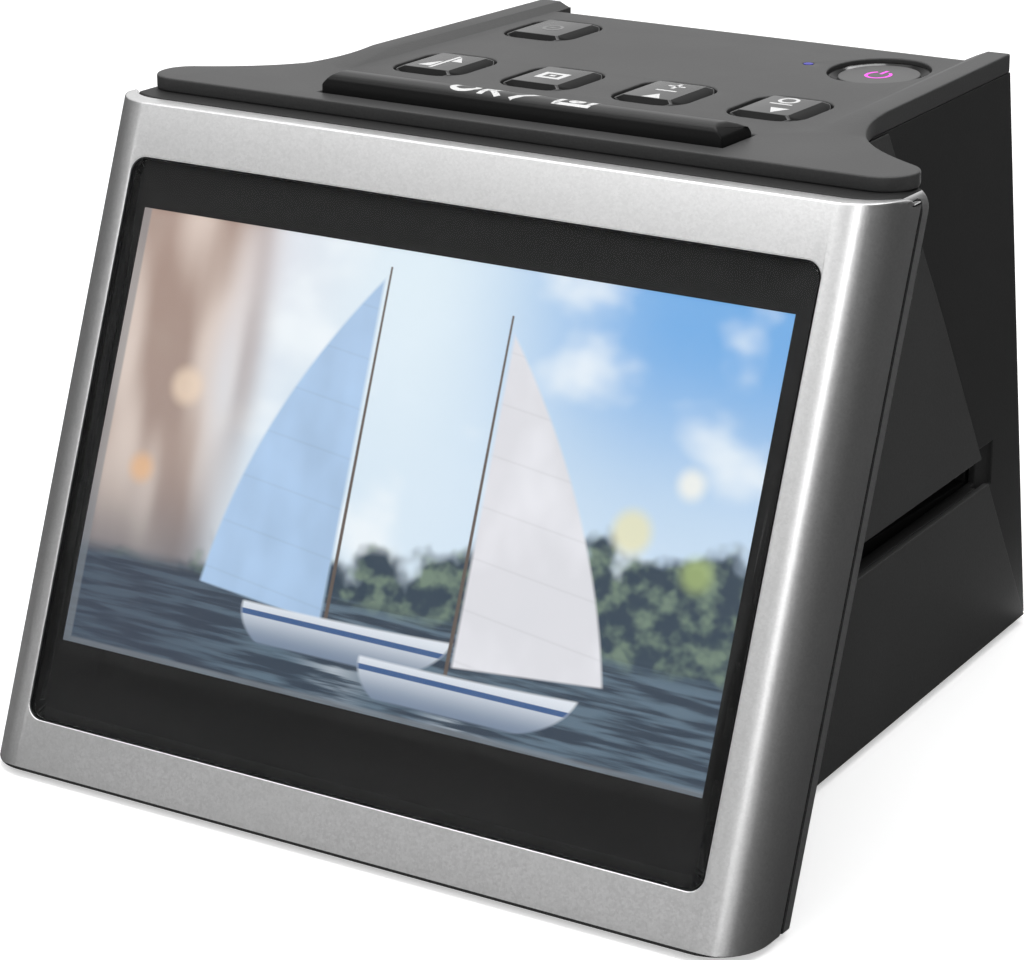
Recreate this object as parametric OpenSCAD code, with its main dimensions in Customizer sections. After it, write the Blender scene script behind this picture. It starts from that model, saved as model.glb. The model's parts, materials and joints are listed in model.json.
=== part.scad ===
// Film negative scanner with a tilted viewing screen and a film slot through both sides.
// Millimetres. X runs to the right, Y to the back and Z up. The origin lies on the table,
// under the middle of the scanner's own box.

/* [Case] */
// Depth of the case at its foot, front edge of the screen to the back wall
case_depth = 140.3; // [130:0.1:150]
// Height of the rubber feet that show under the case
foot_h = 1.0; // [0.8:0.1:2]
// Height of the bezel's top face above the table
bezel_top = 94.8; // [93:0.1:98]
// Lean of the screen from upright, in degrees
screen_tilt = 20.66; // [20:0.02:21.2]
// Lean of the back wall from upright, in degrees
back_lean = 10.5; // [9:0.1:11]
// Half of the case's width at the foot of the back wall
rear_half = 41.2; // [40.5:0.1:43]
// Gap from the bezel's side in to the case's side wall, at the front edge
flank_set = 16.63; // [16:0.05:17.4]
// Thickness of the case's walls
wall = 2.2; // [1.8:0.1:2.6]
// Thickness of the bottom cover
floor_t = 2.0; // [1.6:0.1:2.6]

/* [Bezel] */
// Width of the bezel
bezel_w = 129; // [128:0.5:134]
// Depth of the bezel, square to the screen
bezel_depth = 10.7; // [10:0.1:12]
// Thickness of the frame that closes the bezel's back
back_t = 2.3; // [2:0.1:3]
// Radius of the bezel's upright front edges
bezel_round = 7.6; // [5:0.1:7.6]
// Radius of the front bezel's two top corners
front_corner = 1.2; // [0.6:0.1:2]
// Radius of the back frame's two top corners
back_corner = 3; // [1:0.1:3.5]
// Thickness of the bezel's sides, top and bottom
bezel_wall = 2.1; // [1.8:0.1:2.4]
// Thickness of the bezel's front face
face_t = 1.9; // [1.8:0.1:2.4]
// Width of the joint line between the bezel and its back
seam = 0.4; // [0.2:0.05:0.5]
// Distance from the face to the joint line on the bezel's top
ledge_back = 3.2; // [3:0.1:5]
// Thickness of the ledge that the back frame lays on the bezel's top
ledge_t = 1.0; // [0.8:0.1:1.2]

/* [Screen] */
// Width of the bezel's face beside the window glass
glass_side = 7.65; // [7.6:0.05:8.5]
// Height of the bezel's face above the window glass
glass_over = 8.15; // [8:0.05:9]
// Thickness of the window glass
glass_t = 1.1; // [0.9:0.1:1.2]
// Corner radius of the window glass
glass_r = 2.2; // [1:0.1:4]
// Distance from the bezel's lower front edge up the face to the glass
glass_up = 8.2; // [8:0.1:8.6]
// Width of the display's own border beside the picture
view_side = 5; // [4.8:0.1:6]
// Width of the display's own border above and below the picture
view_end = 5.5; // [5:0.1:6.5]
// Distance from the middle of the glass up to the middle of the picture
view_up = 2.5; // [2:0.1:2.8]
// Gap between the display and the bezel's side walls
lcd_clear = 3.4; // [3.2:0.1:4.4]
// Distance from the glass's upper and lower edges in to the display's edges
lcd_in = 4.05; // [4:0.05:5]
// Thickness of the display module
lcd_t = 3; // [2.5:0.1:3.3]
// Thickness of the foam gasket in front of the display
gasket_t = 0.3; // [0.2:0.05:0.5]

/* [Top plate] */
// Thickness of the top plate
plate_t = 2.1; // [1.8:0.1:2.4]
// Gap from the bezel's side in to the top plate's ear
ear_set = 1.7; // [1:0.1:3.5]
// Radius of the ears
ear_r = 5; // [4:0.1:6]
// Gap from the bezel's top front edge back to the plate's front edge
plate_set = 7.4; // [6:0.1:8]
// Distance from the plate's front edge back to where the neck runs straight
neck_back = 30; // [29:0.1:32]
// Height of the two side rims above the plate
rim_h = 0.85; // [0.5:0.05:1.5]
// Width of the flat top of each rim
rim_w = 3.6; // [3:0.1:4.5]
// Width of the slope inside each rim
rim_slope = 2.0; // [1:0.1:2.5]
// Radius of the rolled rear edge between the rims
roll_r = 6; // [5:0.1:6.5]

/* [Keys] */
// Width of a key
key_w = 11.8; // [10:0.1:12]
// Length of a key, front to back
key_l = 14.8; // [13:0.1:15]
// Corner radius of a key
key_r = 3.8; // [3:0.1:4.5]
// Distance from one key of the row to the next
key_pitch = 19.15; // [18.5:0.05:19.5]
// Distance from the plate's front edge back to the middle of the row of keys
key_back = 30.4; // [30:0.1:31.5]
// Distance from the plate's rear edge forward to the middle of the menu key
menu_set = 18; // [17.5:0.1:19]
// Height of a key's flat top above the plate
key_rise = 0.4; // [0.3:0.05:0.9]
// Depth of a key's edge below the plate
key_edge = 0.5; // [0.3:0.05:0.7]
// Width of the slope around a key's top
key_slope = 1.9; // [1.2:0.1:2.2]
// Gap around each key
key_gap = 0.3; // [0.2:0.05:0.4]
// Travel of a key
key_travel = 0.6; // [0.4:0.05:0.7]

/* [Capture bar] */
// Half of the capture bar's length
bar_half = 33.4; // [31:0.1:34]
// Depth of the capture bar, front to back
bar_d = 8.9; // [8.6:0.1:9.1]
// Gap from the plate's front edge back to the bar
bar_set = 4.5; // [4.2:0.1:4.7]
// Height of the bar's crest above the plate
bar_rise = 2.8; // [2:0.1:3.5]
// Chamfer at each end of the bar
bar_cut = 1.6; // [0.8:0.1:2]
// Travel of the bar
bar_travel = 0.8; // [0.5:0.05:0.85]

/* [Power button] */
// Width of the power button's hole
power_w = 14.8; // [14:0.1:15]
// Length of the power button's hole, front to back
power_l = 19.1; // [17:0.1:19.2]
// Width of the sunken ring around the power button at the sides
ring_w = 1.45; // [1:0.05:1.6]
// Width of the sunken ring in front of and behind the button
ring_l = 2.2; // [1:0.1:2.4]
// Depth of the power button's top below the plate
power_sink = 0.65; // [0.3:0.05:0.8]
// Distance from the middle of the case to the power button
power_x = 28.9; // [28.7:0.1:29.2]
// Travel of the power button
power_travel = 0.5; // [0.3:0.05:0.6]
// Diameter of the status lens
lens_dot = 1.5; // [1.2:0.1:2]
// Gap from the power button's middle across to the status lens
lens_side = 11.4; // [11:0.1:12]

/* [Film slot] */
// Height of the film slot's floor above the table
slot_z = 29.6; // [28:0.1:30]
// Height of the film slot
slot_h = 5.0; // [4.8:0.1:5.4]
// Length of the film slot, front to back
slot_l = 62; // [60:0.5:62.5]
// Gap from the slot's rear end to the foot of the back wall
slot_set = 22.15; // [21.65:0.05:23]
// Thickness of the two film gates
gate_t = 2.5; // [2:0.1:3]
// Width of the picture opening in the gates
gate_w = 37; // [36:0.5:38]
// Depth of the picture opening in the gates
gate_d = 25; // [24:0.5:26]
// Depth of the finger recess behind the slot
notch_deep = 1.0; // [0.5:0.1:1.2]
// Length of the finger recess behind the slot
notch_l = 4.5; // [3:0.5:6]
// Height that the finger recess gains above and below the slot
notch_rise = 1.1; // [0.5:0.1:3]

/* [Side panels] */
// Thickness of the side panels, which stand proud of the walls
panel_t = 1.0; // [0.8:0.1:1.5]
// Thickness that the side panels thin down to at their top
panel_thin = 0.3; // [0.2:0.05:0.5]
// Height over which the side panels thin down
panel_fade = 32; // [20:1:50]
// Place of the panel's rear edge at the top, behind the middle of the case
panel_top_y = 6; // [4:0.1:10]
// Gap from the foot of the panel's rear edge to the back wall
panel_end = 2.1; // [1:0.1:4]

/* [Camera and light] */
// Height of the camera holder above the upper gate
holder_h = 26; // [24:0.5:27]
// Radius of the lens barrel
barrel_r = 7; // [6:0.1:8]
// Length of the lens barrel
barrel_l = 15; // [12:0.5:16]
// Height of the posts between the camera holder and its board
post_h = 6.3; // [5.5:0.1:7]
// Gap between the camera board and the main board
board_gap = 5; // [4.5:0.1:6]
// Thickness of the circuit boards
board_t = 1.6; // [1.2:0.1:1.8]
// Height of the posts that lift the backlight board off the bottom cover
light_post = 5; // [3:0.5:6]
// Thickness of the diffuser plate
diffuser_t = 1.5; // [1:0.1:2]

/* [Hidden] */

$fn = 64;
eps = 0.01;
big = 300;

// Places that follow from the case's outline
front_edge = -case_depth / 2;
back_edge = case_depth / 2;
case_back_d = bezel_depth + back_t;
plate_top = bezel_top + plate_t;
face_h = (bezel_top - foot_h) / cos(screen_tilt);
side_flare = atan((bezel_w / 2 - flank_set - rear_half) / case_depth);
function front_y(z) = front_edge + (z - foot_h) * tan(screen_tilt);
function behind_y(d, z) = front_y(z) + d / cos(screen_tilt);
function back_y(z) = back_edge - (z - foot_h) * tan(back_lean);
function half_at(y) = rear_half + (back_edge - y) * tan(side_flare);
function ellipse(a, b, n = 72) = [for (i = [0:n - 1]) [a * cos(360 * i / n), b * sin(360 * i / n)]];

// Small fits
fit = 0.15;
pin_fit = 0.05;
mask_t = 0.15;
glass_sink = 0.1;
rebate = glass_sink + glass_t + mask_t;
glass_rest = 2;
seam_deep = 0.6;
ledge_round = bezel_depth + seam / 2 - ledge_back;
inner_round = 3.5;

// Middles on the screen's face, measured up the face
glass_w = bezel_w - 2 * glass_side;
glass_h = face_h - glass_up - glass_over;
lcd_w = bezel_w - 2 * (bezel_wall + lcd_clear);
lcd_h = glass_h - 2 * lcd_in;
view_w = lcd_w - 2 * view_side;
view_h = lcd_h - 2 * view_end;
glass_v = glass_up + glass_h / 2;
view_v = glass_v + view_up;
lcd_d = face_t + gasket_t;
bracket_t = 1;
bracket_w = lcd_w - 14;
bracket_rim = [12, 10];
bracket_lap = 3;
boss_out = 3.6;

// Screws: shank radius, head radius, head height
case_screw = [1.2, 2.2, 1.2];
small_screw = [0.95, 1.8, 1.0];
case_len = 7;
small_len = 4;
boss_wall = 1.5;
bezel_screw_x = bezel_w / 2 - 7;
low_v = view_v - lcd_h / 2 - boss_out;
high_v = view_v + lcd_h / 2 + boss_out;
bracket_screw_x = bracket_w / 2 - 7;

// Top plate
plate_front = front_y(bezel_top) + plate_set;
neck_y = plate_front + neck_back;
plate_rear = back_y(plate_top + rim_h);
ear_x = bezel_w / 2 - ear_set - ear_r;
ear_y = plate_front + ear_r;
ear_turn = 60;
neck_pull = 8;
neck_lean = 11;
rim_start = 9.5;
rim_full = 3.5;
roll_half = half_at(plate_rear) - rim_w - rim_slope;
roll_y = plate_rear - roll_r + 1;
roll_z = plate_top - roll_r;
roll_t = 2;
function bezier(a, b, c, d, t) = pow(1 - t, 3) * a + 3 * pow(1 - t, 2) * t * b
    + 3 * (1 - t) * t * t * c + pow(t, 3) * d;
ear_end = [ear_x + ear_r * cos(ear_turn), ear_y + ear_r * sin(ear_turn)];
neck_start = [half_at(neck_y), neck_y];
plate_side = concat(
    [for (i = [0:16]) let (a = -90 + (ear_turn + 90) * i / 16)
        [ear_x + ear_r * cos(a), ear_y + ear_r * sin(a)]],
    [for (i = [1:14]) bezier(ear_end, ear_end + neck_pull * [-sin(ear_turn), cos(ear_turn)],
        neck_start + [1, -neck_lean], neck_start, i / 14)],
    [[half_at(plate_rear), plate_rear]]);

// Keys: place, switches and boards under the plate
key_y = plate_front + key_back;
menu_y = plate_rear - menu_set;
key_xs = [-1.5 * key_pitch, -0.5 * key_pitch, 0.5 * key_pitch, 1.5 * key_pitch];
flange_t = 0.8;
flange_w = 0.6;
flange_top = bezel_top - 0.1;
stem_r = 2;
switch_w = 6;
switch_h = 3.4;
plunger_r = 1.75;
deepest_travel = max(key_travel, power_travel, bar_travel);
plunger_h = deepest_travel + 0.4;
switch_drop = 6.3;
key_board_top = bezel_top - switch_drop;
switch_top = key_board_top + switch_h;
plunger_top = switch_top + plunger_h;
plunger_base = switch_top - 1.3;
well_base = plunger_base - deepest_travel - 0.1;
menu_x = key_xs[0];
power_y = menu_y;
lens_x = power_x - lens_side;
lens_y = power_y - 1.2;
bar_y = plate_front + bar_set;
bar_back = bar_y + bar_d;
bar_stem_x = 26;
bar_stem_y = bar_back - 2.4;
bar_floor = bezel_top + bar_travel + 0.05;
bar_deep_y = behind_y(case_back_d, bezel_top) + 0.5;
key_board_half = 34;
key_board_front = bar_stem_y - switch_w / 2 - 1;
key_board_rear = menu_y + key_l / 2 + 3.5;
top_screw_ys = [key_board_front + 8, power_y + power_l / 2 + 3.6];
top_screw_x = half_at(top_screw_ys[1]) - wall - 2.68;
top_boss_h = 5;
key_board_screw_x = 18.5;
key_board_screw_ys = [key_y - key_l / 2 - 4.4, menu_y - 13];

// Film channel
slot_rear = back_edge - slot_set;
slot_front = slot_rear - slot_l;
frame_y = slot_rear - slot_l / 2;
rail_w = 3.4;
gate_half = half_at(slot_rear + rail_w) - wall - 0.5;
lower_z = slot_z - gate_t;
upper_z = slot_z + slot_h;
upper_top = upper_z + gate_t;
pillar_r = 3;
pillar_x = gate_half - 4;
pillar_ys = [slot_front - rail_w / 2 - fit, slot_rear + rail_w / 2 + fit];
gate_screw_len = slot_h + 2 * gate_t + 6;

// Camera over the film
holder_w = 42;
holder_d = 32;
holder_t = 2;
holder_top = upper_top + holder_h;
camera_board_z = holder_top + post_h;
camera_board_w = 32;
camera_screw_at = 12.5;
barrel_low = holder_top - 10;
main_z = camera_board_z + board_t + board_gap;
main_half = 36;
main_front = -4;
main_rear = back_y(main_z) - wall - 1.2;
main_screw_x = 33;
main_screw_ys = [4, main_rear - 24];
socket_z = main_z + board_t;
usb = [20, 9, 3.2, 7.5];
video = [2, 11.4, 3.4, 8];
card = [-21, 26, 3.4, 20];
chips = [[-9, 12, 14, 14, 1.2], [12, 14, 8, 10, 1]];
joiner_d = 4;
joiner_h = [1.8, 1.5];
sensor_t = 0.8;
shelf_t = 3;

// Light under the film
light_w = 44;
light_d = 34;
light_wall = 1.5;
floor_top = foot_h + floor_t;
light_board_z = floor_top + light_post;
light_box_z = light_board_z + board_t;
light_box_top = lower_z - diffuser_t;
led_w = 3;
led_h = 0.8;
led_pitch = [12, 9];

// Ribbons and the backlight's cable
ribbon_t = 0.3;
lcd_ribbon_w = 20;
lcd_ribbon_drop = 26;
ribbon_turn = 4;
key_ribbon_w = 10;
key_ribbon_x = 20;
camera_ribbon_w = 14;
cable_w = 2.5;
cable_t = 1;
cable_x = -27.5;

// Case fasteners
body_screw_zs = [16, 80];
body_boss_d = 8;
boss_set = 0.3;
bottom_ys = [behind_y(case_back_d, foot_h) + 11, back_edge - 12];
foot_ys = [bottom_ys[0] - 1, bottom_ys[1] - 9];
foot_x = 31;
foot_r = 4.5;
foot_sink = 0.6;
peg_r = 1.5;
pegs = [[-12, 52], [-30, 20], [30, 12]];

function panel_rear(z) = panel_top_y
    + (back_edge - panel_end - panel_top_y) * (bezel_top - z) / (bezel_top - foot_h);

// ---- shared shapes

module rounded_rect(w, h, r) {
    square([w, h - 2 * r], center = true);
    square([w - 2 * r, h], center = true);
    for (x = [-1, 1], y = [-1, 1])
        translate([x * (w / 2 - r), y * (h / 2 - r)])
            circle(r);
}

module on_screen() {
    translate([0, front_edge, foot_h])
        rotate([90 - screen_tilt, 0, 0])
            children();
}

// A level slice of the children
module between(low, high) {
    intersection() {
        children();
        translate([-big / 2, -big / 2, low])
            cube([big, big, high - low]);
    }
}

// Extrudes a plan of x and depth behind the face along the face
module up_face() {
    on_screen()
        translate([0, big / 2, 0])
            rotate([90, 0, 0])
                linear_extrude(big)
                    mirror([0, 1])
                        children();
}

// Extrudes an outline of y and z across the case
module across(half) {
    translate([-half, 0, 0])
        rotate([90, 0, 90])
            linear_extrude(2 * half)
                children();
}

// Rounded front corners, square back corners; y is depth behind the face
module bezel_plan(half, front, back, r) {
    intersection() {
        union() {
            translate([-half, front + r])
                square([2 * half, big]);
            translate([r - half, front])
                square([2 * (half - r), big]);
            for (side = [-1, 1])
                translate([side * (half - r), front + r])
                    circle(r);
        }
        translate([-half, front])
            square([2 * half, back - front]);
    }
}

// What two rounded top corners of radius r take off
module top_corner_cuts(r) {
    for (side = [-1, 1])
        translate([side * (bezel_w / 2 - r), 0, bezel_top - r])
            rotate([90, 0, 0])
                difference() {
                    translate([side > 0 ? 0 : -r - 1, 0, -big / 2])
                        cube([r + 1, r + 1, big]);
                    translate([0, 0, -big / 2 - 1])
                        cylinder(r = r, h = big + 2);
                }
}

// Plan of the case, grown outwards by out
module flank_plan(out) {
    polygon([for (p = [[-1, front_edge], [1, front_edge], [1, back_edge], [-1, back_edge]])
        [p[0] * (half_at(p[1]) + out), p[1]]]);
}

module screw(kind, len) {
    difference() {
        union() {
            translate([0, 0, -len])
                cylinder(r = kind[0], h = len + eps);
            cylinder(r = kind[1], h = kind[2]);
        }
        for (turn = [0, 90])
            rotate(turn)
                translate([-kind[1] * 0.6, -kind[1] * 0.13, kind[2] * 0.4])
                    cube([kind[1] * 1.2, kind[1] * 0.26, kind[2]]);
    }
}

// Places on the screen's axes, at depth d behind the face, with Z pointing to the back
module at_face(x, v, d) {
    on_screen()
        translate([x, v, -d])
            rotate([180, 0, 0])
                children();
}

module at_bezel_screws() {
    for (x = [-1, 1], v = [low_v, high_v])
        at_face(x * bezel_screw_x, v, 0)
            children();
}

module at_bracket_screws() {
    for (x = [-1, 1], v = [low_v, high_v])
        at_face(x * bracket_screw_x, v, 0)
            children();
}

// Screws that hold the rear shell to the bezel's back
module at_body_screws() {
    for (side = [-1, 1], z = body_screw_zs)
        let (v = (z - foot_h) / cos(screen_tilt) + case_back_d * tan(screen_tilt),
            x = half_at(behind_y(case_back_d, z)) - wall - case_screw[0] - boss_wall + 0.2)
        at_face(side * x, v, 0)
            children();
}

module at_bottom_screws() {
    for (side = [-1, 1], y = bottom_ys)
        translate([side * (half_at(y) - wall - case_screw[0] - boss_wall + 0.3), y, 0])
            children();
}

module at_feet() {
    for (side = [-1, 1], y = foot_ys)
        translate([side * foot_x, y, 0])
            children();
}

module at_top_screws() {
    for (side = [-1, 1], y = top_screw_ys)
        translate([side * top_screw_x, y, 0])
            children();
}

module at_key_board_screws() {
    for (side = [-1, 1], y = key_board_screw_ys)
        translate([side * key_board_screw_x, y, 0])
            children();
}

module at_main_screws() {
    for (side = [-1, 1], y = main_screw_ys)
        translate([side * main_screw_x, y, 0])
            children();
}

module at_camera_screws() {
    for (x = [-1, 1], y = [-1, 1])
        translate([x * camera_screw_at, frame_y + y * camera_screw_at, 0])
            children();
}

module at_pillars() {
    for (side = [-1, 1], y = pillar_ys)
        translate([side * pillar_x, y, 0])
            children();
}

// A ribbon of thickness t that follows points in y and z, w wide in x
module ribbon(points, t, w) {
    n = len(points);
    function dir(i) = let (a = points[max(i - 1, 0)], b = points[min(i + 1, n - 1)]) (b - a) / norm(b - a);
    edge = [for (s = [1, -1], k = [0:n - 1]) let (i = s > 0 ? k : n - 1 - k, d = dir(i))
        points[i] + s * t / 2 * [-d[1], d[0]]];
    across(w / 2)
        polygon(edge);
}

// ---- screen and bezel

module front_bezel() {
    color("silver")
        difference() {
            union() {
                difference() {
                    between(foot_h, bezel_top)
                        up_face()
                            bezel_plan(bezel_w / 2, 0, bezel_depth - seam / 2, bezel_round);
                    between(foot_h + bezel_wall, bezel_top - bezel_wall)
                        up_face()
                            bezel_plan(bezel_w / 2 - bezel_wall, face_t, bezel_depth + 1, inner_round);
                }
                at_bezel_screws()
                    translate([0, 0, face_t - eps])
                        cylinder(r = case_screw[0] + boss_wall, h = bezel_depth - seam / 2 - face_t + eps);
                at_bracket_screws()
                    translate([0, 0, face_t - eps])
                        cylinder(r = small_screw[0] + boss_wall, h = gasket_t + lcd_t + eps);
            }
            on_screen()
                translate([0, glass_v, -rebate])
                    linear_extrude(rebate + 1)
                        rounded_rect(glass_w + 2 * fit, glass_h + 2 * fit, glass_r + fit);
            on_screen()
                translate([0, glass_v, -face_t - 1])
                    linear_extrude(face_t + 2)
                        rounded_rect(glass_w - 2 * glass_rest, glass_h - 2 * glass_rest, glass_r / 2);
            between(bezel_top - ledge_t - fit, bezel_top + 1)
                up_face()
                    bezel_plan(bezel_w / 2 + seam, ledge_back - seam, big / 4, ledge_round + seam);
            at_bezel_screws()
                translate([0, 0, bezel_depth - case_len])
                    cylinder(r = case_screw[0] + pin_fit, h = case_len);
            at_bracket_screws()
                translate([0, 0, face_t])
                    cylinder(r = small_screw[0] + pin_fit, h = big / 30);
            top_corner_cuts(front_corner);
        }
}

module bezel_back() {
    open_half = half_at(behind_y(case_back_d, bezel_top)) - wall - 9;
    color("silver")
        difference() {
            union() {
                between(foot_h, bezel_top)
                    up_face()
                        translate([-bezel_w / 2, bezel_depth + seam / 2])
                            square([bezel_w, back_t - seam / 2]);
                between(foot_h + seam_deep, bezel_top)
                    up_face()
                        translate([seam_deep - bezel_w / 2, bezel_depth - seam / 2])
                            square([bezel_w - 2 * seam_deep, back_t]);
                between(bezel_top - ledge_t, bezel_top)
                    up_face()
                        bezel_plan(bezel_w / 2, ledge_back, bezel_depth + 1, ledge_round);
            }
            translate([-open_half, -big / 2, foot_h + 10])
                cube([2 * open_half, big, bezel_top - foot_h - 22]);
            at_bezel_screws() {
                cylinder(r = case_screw[0] + fit, h = big / 10);
                translate([0, 0, case_back_d - case_screw[2]])
                    cylinder(r = case_screw[1] + fit, h = big / 10);
            }
            at_body_screws() {
                cylinder(r = case_screw[0] + fit, h = big / 10);
                cylinder(r = case_screw[1] + fit, h = bezel_depth - seam / 2 + case_screw[2]);
            }
            top_corner_cuts(back_corner);
        }
}

module window_glass() {
    color([0.35, 0.38, 0.4, 0.35])
        on_screen()
            translate([0, glass_v, -glass_sink - glass_t])
                linear_extrude(glass_t)
                    rounded_rect(glass_w, glass_h, glass_r);
}

module window_mask() {
    color([0.03, 0.03, 0.03])
        on_screen()
            translate([0, 0, -rebate])
                linear_extrude(mask_t)
                    difference() {
                        translate([0, glass_v])
                            rounded_rect(glass_w, glass_h, glass_r);
                        translate([-view_w / 2, view_v - view_h / 2])
                            square([view_w, view_h]);
                    }
}

module lcd_gasket() {
    color([0.1, 0.1, 0.1])
        on_screen()
            translate([0, view_v, -lcd_d])
                linear_extrude(gasket_t)
                    difference() {
                        square([lcd_w - 2, lcd_h - 2], center = true);
                        square([view_w + 2.4, view_h + 2.4], center = true);
                    }
}

module lcd_panel() {
    color([0.55, 0.65, 0.75])
        on_screen()
            translate([-lcd_w / 2, view_v - lcd_h / 2, -lcd_d - lcd_t])
                cube([lcd_w, lcd_h, lcd_t]);
}

module lcd_bracket() {
    tall = high_v - low_v + 2 * bracket_lap;
    color([0.72, 0.73, 0.75])
        difference() {
            on_screen()
                translate([0, view_v, -lcd_d - lcd_t - bracket_t])
                    linear_extrude(bracket_t)
                        difference() {
                            square([bracket_w, tall], center = true);
                            square([bracket_w, lcd_h] - 2 * bracket_rim, center = true);
                        }
            at_bracket_screws()
                cylinder(r = small_screw[0] + fit, h = big / 10);
        }
}

module bezel_screws() {
    color([0.2, 0.2, 0.2])
        at_bezel_screws()
            translate([0, 0, case_back_d - case_screw[2]])
                screw(case_screw, case_len - 1.2);
}

// ---- case

module case_side(front_d, back_in, low, high) {
    polygon([[behind_y(front_d, low), low], [back_y(low) - back_in, low],
        [back_y(high) - back_in, high], [behind_y(front_d, high), high]]);
}

module film_slot() {
    translate([-big / 2, slot_front, slot_z])
        cube([big, slot_l, slot_h]);
}

module socket_hole(s, grow) {
    translate([s[0] - s[1] / 2 - grow, back_y(socket_z) - wall - 3, socket_z - grow])
        cube([s[1] + 2 * grow, wall + 6, s[2] + 2 * grow]);
}

module at_pegs(side) {
    for (p = pegs)
        translate([side * (half_at(p[0]) - wall), p[0], p[1]])
            rotate([0, side * 90, 0])
                children();
}

// Two shelves that run out to the side walls from x, with their top at z
module shelf_pair(x, y, w, z) {
    for (start = [x, -x - big])
        translate([start, y - w / 2, z - shelf_t])
            cube([big, w, shelf_t]);
}

module rear_shell() {
    back_in = wall / cos(back_lean);
    shelf_in = 5.5;
    color([0.16, 0.16, 0.16])
        difference() {
            union() {
                difference() {
                    intersection() {
                        translate([0, 0, foot_h])
                            linear_extrude(bezel_top - foot_h)
                                flank_plan(0);
                        across(big / 2)
                            case_side(case_back_d, 0, foot_h, bezel_top);
                    }
                    intersection() {
                        linear_extrude(big)
                            flank_plan(-wall);
                        across(big / 2)
                            case_side(-big / 4, back_in, foot_h - 1, bezel_top + 1);
                    }
                }
                // Bosses for the screws from the bezel's back, the bottom and the top
                intersection() {
                    at_body_screws()
                        translate([0, 0, case_back_d + boss_set])
                            cylinder(r = case_screw[0] + boss_wall, h = body_boss_d);
                    linear_extrude(big)
                        flank_plan(-wall / 2);
                }
                intersection() {
                    at_bottom_screws()
                        translate([0, 0, floor_top])
                            cylinder(r = case_screw[0] + boss_wall, h = 9);
                    linear_extrude(big)
                        flank_plan(-wall / 2);
                }
                // Shelves under the top plate's bosses and under the main board
                intersection() {
                    union() {
                        for (y = top_screw_ys)
                            shelf_pair(top_screw_x + 3 - shelf_in, y, 6, bezel_top - top_boss_h);
                        for (y = main_screw_ys)
                            shelf_pair(main_screw_x + 3 - shelf_in, y, 7, main_z);
                    }
                    linear_extrude(big)
                        flank_plan(-wall / 2);
                }
            }
            film_slot();
            // Finger recess behind the slot, outside only
            for (side = [-1, 1])
                translate([side * half_at(slot_rear), slot_rear + notch_l / 2 - 1, slot_z + slot_h / 2])
                    cube([2 * notch_deep, notch_l + 2, slot_h + 2 * notch_rise], center = true);
            for (s = [usb, video, card])
                socket_hole(s, 0.3);
            // The back wall is lower between the rims, where the top plate rolls down
            translate([-roll_half - fit, 0, roll_z])
                cube([2 * (roll_half + fit), big, big]);
            at_body_screws()
                cylinder(r = case_screw[0] + pin_fit, h = case_back_d + body_boss_d - 1);
            at_bottom_screws()
                translate([0, 0, foot_h])
                    cylinder(r = case_screw[0] + pin_fit, h = floor_t + 8);
            at_top_screws()
                translate([0, 0, bezel_top - top_boss_h - 2 * shelf_t])
                    cylinder(r = case_screw[0] + fit, h = 3 * shelf_t);
            at_main_screws()
                translate([0, 0, main_z - 2 * shelf_t])
                    cylinder(r = small_screw[0] + pin_fit, h = 3 * shelf_t);
            for (side = [-1, 1])
                at_pegs(side)
                    translate([0, 0, -1])
                        cylinder(r = peg_r + pin_fit, h = wall + 4);
        }
}

module side_panel() {
    low = foot_h + 0.4;
    high = bezel_top - 0.2;
    difference() {
        union() {
            intersection() {
                translate([half_at(back_edge), back_edge, 0])
                    rotate([90, 0, side_flare])
                        linear_extrude(case_depth)
                            polygon([[0, 0], [panel_t, 0], [panel_t, high - panel_fade],
                                [panel_thin, high], [0, high]]);
                across(big / 2)
                    polygon([[behind_y(case_back_d + fit, low), low], [panel_rear(low), low],
                        [panel_rear(high), high], [behind_y(case_back_d + fit, high), high]]);
            }
            at_pegs(1)
                translate([0, 0, 0.3])
                    cylinder(r = peg_r, h = wall);
        }
        // The slot runs out through the panel's rear edge
        translate([0, slot_front, slot_z])
            cube([big, big, slot_h]);
    }
}

module right_side_panel() {
    color([0.2, 0.2, 0.2])
        side_panel();
}

module left_side_panel() {
    color([0.2, 0.2, 0.2])
        mirror([1, 0, 0])
            side_panel();
}

module bottom_cover() {
    color([0.12, 0.12, 0.12])
        difference() {
            union() {
                intersection() {
                    translate([0, 0, foot_h])
                        linear_extrude(floor_t)
                            flank_plan(-wall - fit);
                    across(big / 2)
                        polygon([[behind_y(case_back_d, floor_top) + fit, 0],
                            [back_y(floor_top) - wall / cos(back_lean) - fit, 0],
                            [back_y(floor_top) - wall / cos(back_lean) - fit, big],
                            [behind_y(case_back_d, floor_top) + fit, big]]);
                }
                at_pillars()
                    translate([0, 0, floor_top - eps])
                        cylinder(r = pillar_r, h = lower_z - floor_top + eps);
                for (x = [-1, 1], y = [-1, 1])
                    translate([x * (light_w / 2 - 2), frame_y + y * (light_d / 2 - 2), floor_top - eps])
                        cylinder(r = 2, h = light_post + eps);
            }
            at_feet()
                cylinder(r = foot_r + fit, h = foot_h + foot_sink);
            at_bottom_screws() {
                cylinder(r = case_screw[0] + fit, h = big / 10);
                cylinder(r = case_screw[1] + fit, h = foot_h + case_screw[2]);
            }
            at_pillars()
                translate([0, 0, lower_z - 7])
                    cylinder(r = case_screw[0] + pin_fit, h = 8);
        }
}

module rubber_feet() {
    color([0.08, 0.08, 0.08])
        at_feet()
            cylinder(r = foot_r, h = foot_h + foot_sink);
}

module bottom_screws() {
    color([0.2, 0.2, 0.2])
        at_bottom_screws()
            translate([0, 0, foot_h + case_screw[2]])
                rotate([180, 0, 0])
                    screw(case_screw, case_len);
}

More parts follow.
